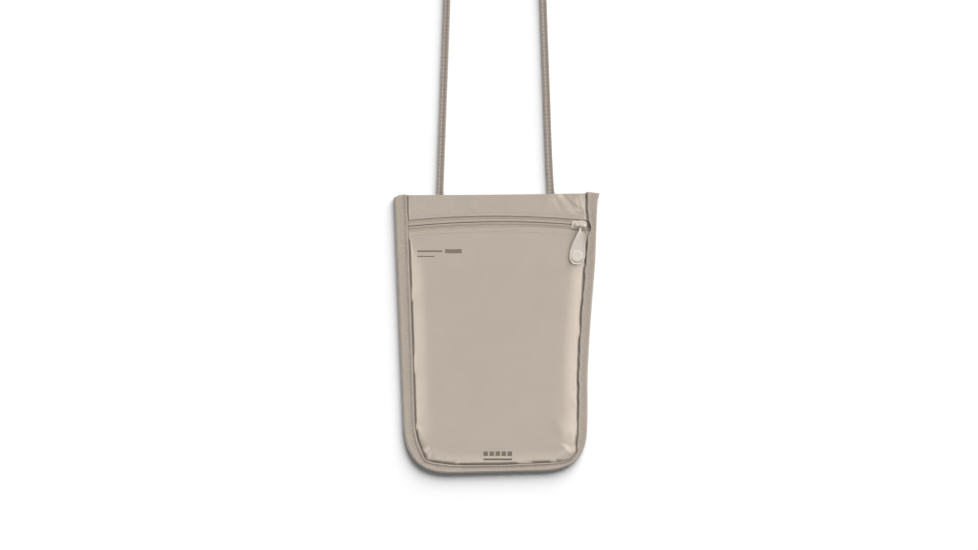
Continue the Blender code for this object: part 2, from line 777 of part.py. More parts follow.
def make_cord_coil():
    """The outer shape of the wound cord: one turned ring, with a tie round it."""
    pitch = CORD_DIAMETER * COIL_TURNS / COIL_LAYERS
    outer = COIL_OUTER_TURN + CORD_DIAMETER / 2 + 0.15
    inner = COIL_OUTER_TURN - pitch - CORD_DIAMETER / 2 - 0.15
    low = TIE_THICKNESS + GAP
    high = low + COIL_LAYERS * CORD_DIAMETER
    round_off = CORD_DIAMETER * 0.35
    corner = [(outer - round_off, high), (outer, high - round_off), (outer, low + round_off),
              (outer - round_off, low), (inner + round_off, low), (inner, low + round_off),
              (inner, high - round_off), (inner + round_off, high)]
    bm = bmesh.new()
    verts = [bm.verts.new(Vector((r, 0, z)) * MM) for r, z in corner]
    for a, b in zip(verts, verts[1:] + verts[:1]):
        bm.edges.new((a, b))
    ring = mesh_object("neck_cord_coil", bm, "cord")
    ring.location = (COIL_CENTRE[0] * MM, COIL_CENTRE[1] * MM, 0)
    screw = ring.modifiers.new("turn", "SCREW")
    screw.steps = screw.render_steps = 40
    screw.use_merge_vertices = True
    screw.merge_threshold = 0.00001
    make_tie(outer, inner, low, high)


def make_tie(outer, inner, low, high):
    """A narrow strap round the bundle, at the far side of the coil."""
    curve_room = inner - math.sqrt(inner ** 2 - (TIE_WIDTH / 2) ** 2) + 0.1

    def loop(grow, corner):
        a, b = inner - curve_room - grow, outer + grow
        c, d = low - grow, high + grow
        return [(a + corner, c), (b - corner, c), (b, c + corner), (b, d - corner),
                (b - corner, d), (a + corner, d), (a, d - corner), (a, c + corner)]

    outlines = [loop(GAP + TIE_THICKNESS, 1.4), loop(GAP, 1.2)]
    tie = flat_piece("coil_tie", outlines, TIE_WIDTH, 0.0, "tie")
    tie.rotation_euler = (math.pi / 2, 0, math.pi / 2)
    tie.location = (COIL_CENTRE[0] * MM, COIL_CENTRE[1] * MM, 0)


def make_cord():
    make_cord_anchor("cord_anchor_left", anchor_x("left"))
    make_cord_anchor("cord_anchor_right", anchor_x("right"))
    make_cord_run("neck_cord_left", CORD_LEFT_ROUTE)
    make_cord_run("neck_cord_right", CORD_RIGHT_ROUTE)
    make_cord_coil()


# ---------------------------------------------------------------- the whole pouch

make_back_panel()
make_back_lining()
make_front_lining()
make_front_panel()
make_top_panel()
make_binding()
make_binding_thread()
make_zip()
make_slider_and_pull()
make_cord()
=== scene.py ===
"""Looks of the neck pouch wallet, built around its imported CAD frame.

Row frame: +X across the pouch, +Y towards the neck cord, +Z out of the front panel; the pouch lies on z = 0.
Lengths at the top of the file are in millimetres; MM turns them into metres.
"""

import math

import bmesh
import bpy
import numpy as np
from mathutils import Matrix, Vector, noise
from mathutils.bvhtree import BVHTree


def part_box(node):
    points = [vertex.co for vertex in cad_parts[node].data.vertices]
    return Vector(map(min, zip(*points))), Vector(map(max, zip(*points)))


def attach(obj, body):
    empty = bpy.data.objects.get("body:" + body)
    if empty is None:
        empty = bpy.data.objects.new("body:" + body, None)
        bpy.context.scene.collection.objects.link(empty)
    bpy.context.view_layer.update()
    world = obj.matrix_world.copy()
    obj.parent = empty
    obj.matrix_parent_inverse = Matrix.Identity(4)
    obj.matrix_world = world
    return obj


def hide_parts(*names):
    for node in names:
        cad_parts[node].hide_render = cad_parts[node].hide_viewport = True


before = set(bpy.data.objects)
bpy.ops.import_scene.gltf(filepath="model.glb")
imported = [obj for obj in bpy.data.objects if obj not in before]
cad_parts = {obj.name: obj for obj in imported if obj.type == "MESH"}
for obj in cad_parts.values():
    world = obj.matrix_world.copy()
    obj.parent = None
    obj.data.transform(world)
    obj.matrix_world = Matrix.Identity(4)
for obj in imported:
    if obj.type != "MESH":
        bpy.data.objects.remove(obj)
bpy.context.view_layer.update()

MM = 0.001

# ---- sizes repeated from the CAD design, in mm

# The pouch's outer edge as Bezier stretches: (knot, handle, handle, knot), the binding's width
# at both ends and how much narrower it gets half way.
LEFT_EDGE = [
    ((-69.7, 93.8), (-67.6, 41.9), (-65.5, -10.1), (-63.4, -62.0), 8.7, 7.9, -0.3),
    ((-63.4, -62.0), (-62.4, -86.0), (-52.0, -95.9), (-30.0, -95.7), 7.9, 6.6, 1.8),
]
RIGHT_EDGE = [
    ((69.7, 95.1), (68.2, 82.0), (68.4, 60.0), (67.2, 44.0), 8.1, 6.7, 1.4),
    ((67.2, 44.0), (66.0, 28.0), (62.3, -12.0), (62.3, -38.0), 6.7, 6.1, 0.0),
    ((62.3, -38.0), (62.4, -48.0), (62.5, -56.0), (62.1, -64.0), 6.1, 6.2, 0.0),
    ((62.1, -64.0), (62.0, -86.0), (51.0, -93.6), (32.0, -94.2), 6.2, 5.4, 1.5),
]

# The binding's inner edge round the bottom: near-straight stretches between blunt mitred corners.
INNER_BOTTOM = [
    (-55.6, -58.9), (-55.1, -65.1), (-53.7, -72.7), (-49.4, -83.9), (-47.7, -86.8), (-42.8, -88.2),
    (-31.7, -89.7), (-21.6, -90.2), (2.6, -90.0), (16.2, -89.4), (33.4, -88.6), (41.9, -88.0),
    (47.2, -87.2), (51.3, -85.9), (55.4, -80.2), (54.9, -77.0), (55.8, -69.0), (56.1, -63.8),
]

BINDING_TOP_Z = 5.05
BINDING_THICKNESS = 0.4
BACK_Z = 0.65
PANEL_TOP_Z = 4.4
TAPE_Z = 3.45
TAPE_THICKNESS = 0.3
COIL_Z = 2.8
CROWN_RISE = 2.4
SIDE_SLOPE = 10.5
ZIP_SLOPE = 24.0

ZIP_RADIUS = 620.0
ZIP_TOP_Y = 75.8
UPPER_LIP = 4.1
LOWER_LIP = -3.7
UPPER_STITCH = 6.2
LOWER_STITCH = -7.0
UPPER_TAPE_EDGE = 6.8
LOWER_TAPE_EDGE = -7.6
ZIP_HALF_GAP = 0.5
ZIP_END_LEFT = -65.6
ZIP_END_RIGHT = 65.4
COIL_END = 61.5

SLIDER_X = 56.6
SLIDER_LENGTH = 10.4
SLIDER_NOSE_HALF = 3.3
SLIDER_TAIL_HALF = 2.8
SLIDER_PLATE_TOP = 4.65
BAR_Z = 6.45
EYE_S = 0.9
EYE_INNER = 0.85
EYE_OUTER = 1.5
EYE_WIDTH = 1.4
PULL_RISE = 1.15
PULL_THICKNESS = 1.0
PULL_LENGTH = 27.1
PULL_HALF = 5.4
PULL_NECK = 0.75
PULL_SIDE = [
    ((0.0, PULL_NECK), (1.2, PULL_NECK), (2.3, PULL_NECK), (3.5, PULL_NECK)),
    ((3.5, PULL_NECK), (7.4, 2.3), (14.2, PULL_HALF), (20.5, PULL_HALF)),
    ((20.5, PULL_HALF), (24.1, PULL_HALF), (PULL_LENGTH, 3.6), (PULL_LENGTH, 0.0)),
]
DISC_RADIUS = 4.1
DISC_AT = 21.2
DISC_PROUD = 0.5

CORD_DIAMETER = 4.7
CORD_Z = CORD_DIAMETER / 2
CORD_LEFT_ROUTE = [(-38.2, 94.1), (-37.4, 115.0), (-36.6, 137.0), (-35.8, 158.4),
                   (-34.8, 186.0), (-33.6, 220.0), (-32.6, 254.0), (-32.2, 272.8)]
CORD_RIGHT_ROUTE = [(37.3, 94.8), (36.2, 115.0), (35.3, 137.0), (34.6, 158.4),
                    (33.6, 186.0), (32.4, 220.0), (31.4, 254.0), (31.0, 272.8)]
COIL_CENTRE = (-0.6, 291.0)
COIL_OUTER_TURN = 31.6
COIL_TURNS = 4.5
COIL_LOW_Z = 2.95
COIL_HIGH_Z = 7.65


# ---- small helpers

def smoothstep(value):
    """A soft step from 0 to 1."""
    value = np.clip(value, 0.0, 1.0)
    return value * value * (3 - 2 * value)


def ease(value):
    """The soft step of a single number."""
    return float(smoothstep(value))


def bump(distance, width):
    """1 at no distance, fading out over about a width."""
    return np.exp(-(np.asarray(distance) / width) ** 2)


def wobble(x, y=0.0, z=0.0):
    """Smooth noise between about -1 and 1."""
    return noise.noise(Vector((x, y, z)))


def wobbles(x, y, z):
    return np.array([wobble(a, b, z) for a, b in zip(x, y)])


def unit(vectors):
    return vectors / np.linalg.norm(vectors, axis=-1, keepdims=True)


def across_line(line, hint):
    """Two unit vectors at each point of a centre line, square to it and to each other."""
    tangent = unit(np.gradient(line, axis=0))
    side = unit(np.cross(tangent, hint))
    return side, np.cross(side, tangent)


def round_angles(count):
    return [2 * math.pi * k / count for k in range(count)]


def signed_power(value, power):
    """Turns a circle's sine or cosine into a squarer shape's when the power is below 1."""
    return math.copysign(abs(value) ** power, value)


def bezier(knots, steps):
    a, b, c, d = [np.array(k, float) for k in knots]
    t = np.linspace(0, 1, steps + 1)[:, None]
    return (1 - t) ** 3 * a + 3 * (1 - t) ** 2 * t * b + 3 * (1 - t) * t ** 2 * c + t ** 3 * d


def walk(points):
    """The distance walked along a polyline, at each of its points."""
    steps = np.linalg.norm(np.diff(points, axis=0), axis=1)
    return np.concatenate([[0], np.cumsum(steps)])


def resample(points, spacing):
    """Points at an even spacing along a polyline, and how far along it each one is."""
    walked = walk(points)
    at = np.linspace(0, walked[-1], max(2, int(round(walked[-1] / spacing)) + 1))
    return np.stack([np.interp(at, walked, column) for column in points.T], axis=1), at


def through(knots, steps=12):
    """A smooth curve through the knots."""
    knots = np.asarray(knots, float)
    fine = []
    for i in range(len(knots) - 1):
        before, after = knots[max(i - 1, 0)], knots[min(i + 2, len(knots) - 1)]
        a, b = knots[i], knots[i + 1]
        fine.append(bezier((a, a + (b - before) / 6, b - (after - a) / 6, b), steps)[:-1])
    fine.append(knots[-1:])
    return np.concatenate(fine)


def add_mesh(name, verts, faces, surface, body="pouch"):
    """A smooth mesh piece from points in mm, riding on a body."""
    mesh = bpy.data.meshes.new(name)
    mesh.from_pydata([tuple(v) for v in np.asarray(verts, float) * MM], [], [tuple(f) for f in faces])
    mesh.validate()
    mesh.shade_smooth()
    obj = bpy.data.objects.new(name, mesh)
    bpy.context.scene.collection.objects.link(obj)
    mesh.materials.append(surface)
    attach(obj, body)
    return obj


def grid_faces(rows, columns, closed=False, start=0):
    """Quads over rows x columns points; closed joins the last column to the first."""
    faces = []
    for r in range(rows - 1):
        for c in range(columns if closed else columns - 1):
            d = (c + 1) % columns
            faces.append((start + r * columns + c, start + r * columns + d,
                          start + (r + 1) * columns + d, start + (r + 1) * columns + c))
    return faces


def capped(rows, columns, start=0):
    """A closed tube's faces: its wall and both end caps."""
    faces = grid_faces(rows, columns, True, start)
    last = start + (rows - 1) * columns
    faces.append(tuple(start + c for c in reversed(range(columns))))
    faces.append(tuple(last + c for c in range(columns)))
    return faces


def looped_faces(rows, columns, closed=False, start=0):
    """Quads over rows x columns points whose last row joins the first."""
    faces = []
    for r in range(rows):
        n = (r + 1) % rows
        for c in range(columns if closed else columns - 1):
            d = (c + 1) % columns
            faces.append((start + r * columns + c, start + n * columns + c,
                          start + n * columns + d, start + r * columns + d))
    return faces


def face_up(obj, above=0.0):
    """Flips a piece whose faces look down, judged by the faces higher than a height in mm."""
    judged = [p for p in obj.data.polygons if p.center.z > above * MM]
    if sum(p.normal.z * p.area for p in judged) < 0:
        obj.data.flip_normals()


def solidify(obj, thickness):
    """Gives a sheet its thickness in mm, behind its faces."""
    modifier = obj.modifiers.new("thickness", "SOLIDIFY")
    modifier.thickness = thickness * MM
    modifier.offset = -1.0
    modifier.use_even_offset = True


def subdivide(obj):
    modifier = obj.modifiers.new("smooth", "SUBSURF")
    modifier.levels = modifier.render_levels = 1


# ---- camera

CAMERA_AT = (-4.86, 39.3)
CAMERA_HEIGHT = 2222.0
CAMERA_LENS = 120.0


def make_camera():
    data = bpy.data.cameras.new("camera")
    data.lens = CAMERA_LENS
    data.sensor_width = 36.0
    data.clip_start = 0.1
    data.clip_end = 20.0
    camera = bpy.data.objects.new("camera", data)
    camera.location = (CAMERA_AT[0] * MM, CAMERA_AT[1] * MM, CAMERA_HEIGHT * MM)
    bpy.context.scene.collection.objects.link(camera)
    bpy.context.scene.camera = camera


make_camera()

# ---- materials


class Surface:
    """A procedural Principled material; positions are the piece's own, in millimetres."""

    def __init__(self, name, color, roughness, **sockets):
        self.material = bpy.data.materials.new(name)
        self.material.use_nodes = True
        self.nodes = self.material.node_tree.nodes
        self.links = self.material.node_tree.links
        self.shader = self.nodes["Principled BSDF"]
        self.shader.inputs["Base Color"].default_value = (*color, 1.0)
        self.shader.inputs["Roughness"].default_value = roughness
        for key, value in sockets.items():
            self.shader.inputs[key.replace("_", " ")].default_value = value
        self.color = color
        self.height = None
        place = self.nodes.new("ShaderNodeTexCoord")
        scale = self.nodes.new("ShaderNodeMapping")
        scale.inputs["Scale"].default_value = (1 / MM,) * 3
        self.link(place.outputs["Object"], scale.inputs["Vector"])
        self.place = scale.outputs["Vector"]

    def link(self, source, target):
        self.links.new(source, target)

    def math(self, operation, *values):
        node = self.nodes.new("ShaderNodeMath")
        node.operation = operation
        for socket, value in zip(node.inputs, values):
            if isinstance(value, (int, float)):
                socket.default_value = value
            else:
                self.link(value, socket)
        return node.outputs[0]

    def blend(self, *parts):
        """The sum of several factors, each times its weight."""
        total = 0.0
        for factor, weight in parts:
            total = self.math("MULTIPLY_ADD", factor, weight, total)
        return total

    def noise(self, scale, detail=3.0, roughness=0.55, stretch=(1, 1, 1)):
        node = self.nodes.new("ShaderNodeTexNoise")
        node.inputs["Scale"].default_value = scale
        node.inputs["Detail"].default_value = detail
        node.inputs["Roughness"].default_value = roughness
        vector = self.place
        if stretch != (1, 1, 1):
            mapping = self.nodes.new("ShaderNodeMapping")
            mapping.inputs["Scale"].default_value = stretch
            self.link(self.place, mapping.inputs["Vector"])
            vector = mapping.outputs["Vector"]
        self.link(vector, node.inputs["Vector"])
        return node.outputs["Fac"]

    def wave(self, pitch, direction="X", turn=0.0):
        """0..1 ribs, one every pitch mm along a direction that is turned about Z."""
        mapping = self.nodes.new("ShaderNodeMapping")
        mapping.inputs["Rotation"].default_value = (0, 0, turn)
        self.link(self.place, mapping.inputs["Vector"])
        node = self.nodes.new("ShaderNodeTexWave")
        node.bands_direction = direction
        node.inputs["Scale"].default_value = 2 * math.pi / (20 * pitch)
        self.link(mapping.outputs["Vector"], node.inputs["Vector"])
        return node.outputs["Fac"]

    def attribute(self, name):
        node = self.nodes.new("ShaderNodeAttribute")
        node.attribute_name = name
        return node.outputs["Fac"]

    def tint(self, factor, dark, light, low=0.0, high=1.0):
        """Colour from a factor, between two shares of the base colour."""
        ramp = self.nodes.new("ShaderNodeMapRange")
        ramp.inputs["From Min"].default_value = low
        ramp.inputs["From Max"].default_value = high
        self.link(factor, ramp.inputs["Value"])
        mix = self.nodes.new("ShaderNodeMix")
        mix.data_type = "RGBA"
        mix.inputs["A"].default_value = (*[c * dark for c in self.color], 1)
        mix.inputs["B"].default_value = (*[min(1.0, c * light) for c in self.color], 1)
        self.link(ramp.outputs["Result"], mix.inputs["Factor"])
        self.link(mix.outputs["Result"], self.shader.inputs["Base Color"])

    def roughen(self, factor, low, high):
        ramp = self.nodes.new("ShaderNodeMapRange")
        ramp.inputs["To Min"].default_value = low
        ramp.inputs["To Max"].default_value = high
        self.link(factor, ramp.inputs["Value"])
        self.link(ramp.outputs["Result"], self.shader.inputs["Roughness"])

    def bump(self, height, depth):
        """Relief of the given depth in mm; later ones lie on earlier ones."""
        node = self.nodes.new("ShaderNodeBump")
        node.inputs["Distance"].default_value = depth * MM
        self.link(height, node.inputs["Height"])
        if self.height is not None:
            self.link(self.height, node.inputs["Normal"])
        self.height = node.outputs["Normal"]
        self.link(self.height, self.shader.inputs["Normal"])


def srgb(red, green, blue):
    """A colour given in display values from 0 to 255, as linear light."""
    values = [v / 255 for v in (red, green, blue)]
    return tuple(v / 12.92 if v <= 0.04045 else ((v + 0.055) / 1.055) ** 2.4 for v in values)


FABRIC_COLOR = srgb(175, 164, 152)
TAPE_COLOR = srgb(138, 128, 118)


def fabric_surface():
    """A plain weave with uneven threads, blotches of dye and a little lint."""
    made = Surface("pouch_fabric_look", FABRIC_COLOR, 0.36, Sheen_Weight=0.15, Sheen_Roughness=0.45,
                   Metallic=0.5)
    pitch, relief = 0.34, 0.02
    weave = made.math("MULTIPLY", made.wave(pitch, "X"), made.wave(pitch, "Y"))
    slub = made.noise(0.9 / pitch, 2.0, 0.6, (1.0, 0.08, 1.0))
    blotch = made.noise(0.05, 4.0, 0.6)
    made.tint(made.blend((weave, 0.45), (slub, 0.35), (blotch, 0.6)), 0.95, 1.04, 0.25, 0.95)
    made.roughen(made.noise(0.35, 4.0), 0.30, 0.44)
    made.bump(weave, relief)
    made.bump(made.noise(0.5, 3.0), relief * 0.8)
    return made.material


def tape_surface(name, color, pitch, relief):
    """A ribbed, matt tape: fine ribs across a twill ground."""
    made = Surface(name, color, 0.72, Sheen_Weight=0.35, Sheen_Roughness=0.5)
    twill = made.wave(pitch, "X", math.radians(45))
    rib = made.wave(pitch * 1.15, "Y", math.radians(8))
    ground = made.blend((twill, 0.6), (rib, 0.4))
    wear = made.noise(0.22, 5.0, 0.65)
    lint = made.noise(3.5, 3.0, 0.7)
    made.tint(made.blend((ground, 0.35), (wear, 0.75), (lint, 0.25)), 0.84, 1.12, 0.3, 1.1)
    made.roughen(wear, 0.62, 0.82)
    made.bump(ground, relief)
    made.bump(lint, relief * 0.6)
    return made.material


def cord_surface():
    """Braided yarn: strands of two tones, hairy at the edges, with painted shade in the grooves between
    strands and in a band near the cord's top.
    """
    made = Surface("cord_look", srgb(146, 136, 127), 0.78, Sheen_Weight=0.5, Sheen_Roughness=0.35)
    fibre = made.noise(5.0, 4.0, 0.7)
    # The colour follows the strands' two tones and the painted shade of the grooves and of the band near the
    # top.
    made.tint(made.blend((made.attribute("braid_tone_and_painted_shade"), 0.75), (fibre, 0.4)), 0.26, 1.58, 0.12, 1.0)
    made.bump(fibre, 0.08)
    return made.material


def thread_surface():
    made = Surface("thread_look", srgb(152, 140, 127), 0.6, Sheen_Weight=0.3)
    twist = made.wave(0.28, "X", math.radians(30))
    made.tint(made.blend((made.noise(2.0), 0.5), (twist, 1.0)), 0.82, 1.1, 0.1, 1.2)
    made.bump(twist, 0.03)
    return made.material


def coil_surface():
    made = Surface("zip_coil_look", srgb(150, 140, 128), 0.38)
    made.tint(made.noise(1.6, 3.0), 0.88, 1.08)
    made.roughen(made.noise(4.0), 0.28, 0.5)
    made.bump(made.noise(9.0), 0.01)
    return made.material


def enamel_surface(name, color, roughness, coat=0.25, coat_roughness=0.22):
    """Painted die-cast metal: a fine orange peel, and rubbed patches."""
    made = Surface(name, color, roughness, Coat_Weight=coat, Coat_Roughness=coat_roughness)
    worn = made.noise(0.55, 5.0, 0.6)
    made.tint(worn, 0.95, 1.05, 0.3, 0.7)
    made.roughen(made.noise(1.8, 4.0), roughness - 0.07, roughness + 0.1)
    made.bump(made.noise(5.0, 2.0), 0.012)
    made.bump(made.noise(1.0, 3.0), 0.03)
    return made.material


def lining_surface():
    """Thin coated lining with a faint grid."""
    made = Surface("lining_look", srgb(150, 150, 152), 0.34, Metallic=0.25, Sheen_Weight=0.1)
    grid = made.math("MAXIMUM", made.wave(1.6, "X"), made.wave(1.6, "Y"))
    made.tint(grid, 0.86, 1.05, 0.4, 1.0)
    made.roughen(made.noise(0.8), 0.28, 0.45)
    made.bump(grid, 0.02)
    return made.material


def tie_surface():
    made = Surface("tie_look", srgb(46, 45, 44), 0.7, Sheen_Weight=0.3)
    rib = made.wave(0.5, "X")
    made.tint(made.math("ADD", rib, made.noise(2.5)), 0.7, 1.4, 0.2, 1.6)
    made.roughen(made.noise(2.5), 0.6, 0.85)
    made.bump(rib, 0.06)
    return made.material


def ink_surface():
    made = Surface("print_look", srgb(98, 88, 78), 0.5)
    made.tint(made.noise(2.0, 4.0), 0.85, 1.15)
    made.roughen(made.noise(1.2), 0.42, 0.6)
    made.bump(made.wave(0.34, "X"), 0.012)
    return made.material


FABRIC = fabric_surface()
BINDING = tape_surface("binding_tape_look", TAPE_COLOR, 0.62, 0.07)
ZIP_TAPE = tape_surface("zip_tape_look", srgb(140, 129, 118), 0.5, 0.06)
CORD = cord_surface()
THREAD = thread_surface()
COIL = coil_surface()
METAL = enamel_surface("slider_metal_look", srgb(168, 159, 147), 0.2, 0.9, 0.12)
ENAMEL = enamel_surface("pull_enamel_look", srgb(163, 156, 148), 0.42)
DISC_ENAMEL = enamel_surface("pull_disc_look", srgb(172, 165, 155), 0.32)
LINING = lining_surface()
TIE = tie_surface()
INK = ink_surface()


# ---- neck cord: the cords come first

BRAID_STRANDS = 8
BRAID_PITCH = 1.35
BRAID_DEPTH = 0.4
CORD_SIDES = 40
CORD_STEP = 0.5
SEWN_IN = 8.0
# Painted shade: a dark band near the cord's top, where the lamps leave the cord's middle in shade, moving a
# little round the cord from one end to the other.
PAINTED_SHADE_BAND_FROM = 0.20
PAINTED_SHADE_BAND_TO = 0.33
PAINTED_SHADE_BAND_WIDTH = 0.085
PAINTED_SHADE_BAND_DARK = 0.85
FLAT_HALF_HEIGHT = 0.95
FLAT_HALF_WIDTH = 3.0
FLATTEN_OVER = 9.0
STRAP_CORNER = 1.6
STRAP_THICKNESS = 0.35


def coil_points(per_turn=18):
    """The stored length: turns beside each other inwards, then outwards again on top."""
    count = int(COIL_TURNS * per_turn)
    points = []
    for i in range(count + 1):
        turns = i / per_turn
        inward = min(turns, COIL_TURNS - turns)
        radius = COIL_OUTER_TURN - CORD_DIAMETER * inward
        up = smoothstep((turns - COIL_TURNS / 2 + 0.25) / 0.5)
        angle = math.pi - 2 * math.pi * turns
        points.append((COIL_CENTRE[0] + radius * math.cos(angle), COIL_CENTRE[1] + radius * math.sin(angle),
                       COIL_LOW_Z + (COIL_HIGH_Z - COIL_LOW_Z) * float(up)))
    return points


def cord_line():
    """The whole cord's centre line, out of the left of the top seam and back into its right."""
    left = [(x, y, CORD_Z) for x, y in CORD_LEFT_ROUTE]
    right = [(x, y, CORD_Z) for x, y in CORD_RIGHT_ROUTE]
    left[-1] = (*left[-1][:2], 2.6)
    right[-1] = (*right[-1][:2], 5.6)
    right[-2] = (*right[-2][:2], 3.1)
    sewn_left = [(left[0][0] - 0.3, left[0][1] - SEWN_IN, 2.3)]
    sewn_right = [(right[0][0] + 0.3, right[0][1] - SEWN_IN, 2.3)]
    knots = sewn_left + left + coil_points() + right[::-1] + sewn_right
    return resample(through(knots), CORD_STEP)


def braid(turn, along):
    """(height, shade) of the braid at an angle share of the cord's round, and mm along it; the shade is the
    two tones of the strands, times painted shade that darkens the grooves between strands and a band near the
    cord's top.
    """
    a = BRAID_STRANDS * turn + along / (BRAID_PITCH * 2)
    b = BRAID_STRANDS * turn - along / (BRAID_PITCH * 2)
    over = np.mod(np.floor(a) + np.floor(b), 2) < 1
    share = np.where(over, a - np.floor(a), b - np.floor(b))
    height = np.sqrt(np.clip(1 - (2 * share - 1) ** 2, 0, 1))
    shade_band_at = PAINTED_SHADE_BAND_FROM + (PAINTED_SHADE_BAND_TO - PAINTED_SHADE_BAND_FROM) * along / along.max()
    across = np.abs(np.mod(turn - shade_band_at + 0.5, 1.0) - 0.5)
    # The strands running one way are a darker tone; painted shade darkens the grooves between strands and the
    # band near the top.
    return height, height * np.where(over, 1.0, 0.55) * (1 - PAINTED_SHADE_BAND_DARK * bump(across, PAINTED_SHADE_BAND_WIDTH))


def make_cord():
    """The braided cord as one tube, pressed flat where it is sewn into the top seam."""
    line, along = cord_line()
    side, up = across_line(line, (0, 0, 1.0))
    turn = np.arange(CORD_SIDES) / CORD_SIDES
    from_end = np.minimum(along, along[-1] - along)
    round_share = smoothstep((from_end - SEWN_IN + 4.0) / FLATTEN_OVER)
    core = CORD_DIAMETER / 2
    half_high = FLAT_HALF_HEIGHT + (core - FLAT_HALF_HEIGHT) * round_share
    half_wide = FLAT_HALF_WIDTH + (core - FLAT_HALF_WIDTH) * round_share
    height, shade = braid(turn[None, :], along[:, None])
    shrink = 1 - (BRAID_DEPTH / core) * (1 - height)
    across = np.cos(2 * math.pi * turn)[None, :] * half_wide[:, None] * shrink
    raised = np.sin(2 * math.pi * turn)[None, :] * half_high[:, None] * shrink
    verts = line[:, None, :] + across[:, :, None] * side[:, None, :] + raised[:, :, None] * up[:, None, :]
    cord = add_mesh("neck_cord", verts.reshape(-1, 3), capped(len(line), CORD_SIDES), CORD)
    # The colour attribute holds the strands' two tones and the painted shade of the grooves and of the band
    # near the top.
    braid_tone_and_painted_shade = cord.data.attributes.new("braid_tone_and_painted_shade", "FLOAT", "POINT")
    braid_tone_and_painted_shade.data.foreach_set("value", shade.astype(np.float32).ravel())
    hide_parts("neck_cord_left", "neck_cord_right", "neck_cord_coil",
                "cord_anchor_left", "cord_anchor_right")
    return cord, line


def make_tie():
    """A strap round the bundle: a loop with rounded corners, drawn in a little at its edges."""
    low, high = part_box("coil_tie")
    x0, y0, z0 = [v / MM for v in low]
    x1, y1, z1 = [v / MM for v in high]
    outline = []
    for cy, cz, first in ((y1, z1, 0), (y0, z1, 90), (y0, z0, 180), (y1, z0, 270)):
        my = cy - STRAP_CORNER if cy == y1 else cy + STRAP_CORNER
        mz = cz - STRAP_CORNER if cz == z1 else cz + STRAP_CORNER
        for step in range(7):
            angle = math.radians(first + 15 * step)
            outline.append((my + STRAP_CORNER * math.cos(angle), mz + STRAP_CORNER * math.sin(angle)))
    loop, _ = resample(np.array(outline + outline[:1]), 0.8)
    loop = loop[:-1]
    across = np.linspace(x0, x1, 13)
    centre = loop.mean(axis=0)
    verts = []
    for y, z in loop:
        for x in across:
            edge = abs(x - (x0 + x1) / 2) / ((x1 - x0) / 2)
            give = 0.06 * smoothstep((edge - 0.75) / 0.25)
            verts.append((x, y + (centre[0] - y) * give * 0.02, z + (centre[1] - z) * give * 0.1))
    faces = looped_faces(len(loop), len(across))
    strap = add_mesh("coil_tie_strap", verts, faces, TIE)
    solidify(strap, STRAP_THICKNESS)
    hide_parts("coil_tie")
    return strap


CORD_OBJECT, CORD_LINE = make_cord()
TIE_OBJECT = make_tie()


# ---- the pouch's outline

EDGE_STEP = 1.0


def whole_edge():
    """The bound edge every EDGE_STEP mm, as x, y and the binding's width, and its length so far."""

    def side(stretches):
        rows = []
        for *knots, width_a, width_b, dip in stretches:
            t = np.linspace(0, 1, 61)
            width = width_a + (width_b - width_a) * t - dip * np.sin(math.pi * t)
            rows.append(np.column_stack([bezier(knots, 60), width])[0 if not rows else 1:])
        return np.concatenate(rows)
    points = np.concatenate([side(LEFT_EDGE), side(RIGHT_EDGE)[::-1]])
    walked = walk(points[:, :2])
    at = np.linspace(0, walked[-1], int(walked[-1] / EDGE_STEP) + 1)
    return np.stack([np.interp(at, walked, points[:, k]) for k in range(3)], axis=1), at


EDGE, EDGE_AT = whole_edge()
ALONG = np.gradient(EDGE[:, :2], axis=0)
for _ in range(3):
    ALONG[1:-1] = (ALONG[:-2] + 2 * ALONG[1:-1] + ALONG[2:]) / 4
ALONG = unit(ALONG)
INWARD = np.column_stack([-ALONG[:, 1], ALONG[:, 0]])


def inset_line(inset):
    return EDGE[:, :2] + INWARD * np.reshape(inset, (-1, 1))


def binding_width(index):
    """The binding's width at an edge point: as listed, but out to INNER_BOTTOM's chords below."""
    start, ahead = EDGE[index, :2], INWARD[index]
    for a, b in zip(INNER_BOTTOM[:-1], INNER_BOTTOM[1:]):
        a, chord = np.array(a), np.subtract(b, a)
        if abs(ahead[0] * chord[1] - ahead[1] * chord[0]) <= 1e-6:
            continue
        away, share = np.linalg.solve(np.column_stack([ahead, -chord]), a - start)
        if 0 <= share <= 1 and 2 < away < 16:
            return away
    return EDGE[index, 2]


# The tape is eased round the slider's nose, and puckers where it is sewn along the right side.
SLIDER_ROOM_Y = 71.2
ON_RIGHT = EDGE[:, 0] > 40
PUCKER = np.array([wobble(s / 4.2, 1.7) + 0.6 * wobble(s / 9.0, 5.1) for s in EDGE_AT])
PUCKER_SIZE = np.where(ON_RIGHT & (EDGE[:, 1] > -70), 0.55, 0.10)
WIDTH = np.array([binding_width(i) for i in range(len(EDGE))])
SLIDER_ROOM = np.where(ON_RIGHT, 1.9 * bump(EDGE[:, 1] - SLIDER_ROOM_Y, 4.0), 0)
TAPE_WIDTH = WIDTH + PUCKER * PUCKER_SIZE - SLIDER_ROOM
INNER_LINE = inset_line(WIDTH)


def nearest_on(line, points):
    """The nearest points on an open polyline, and the distances to it, + to the left of it."""
    best = np.full(len(points), 1e9)
    near, sign = np.zeros_like(points), np.ones(len(points))
    for a, b in zip(line[:-1], line[1:]):
        d = b - a
        t = np.clip(((points - a) @ d) / (d @ d), 0, 1)
        q = a + t[:, None] * d
        away = points - q
        distance = np.hypot(away[:, 0], away[:, 1])
        closer = distance < best
        best[closer], near[closer] = distance[closer], q[closer]
        side = d[0] * away[:, 1] - d[1] * away[:, 0]
        sign[closer] = np.where(side[closer] >= 0, 1.0, -1.0)
    return near, best * sign


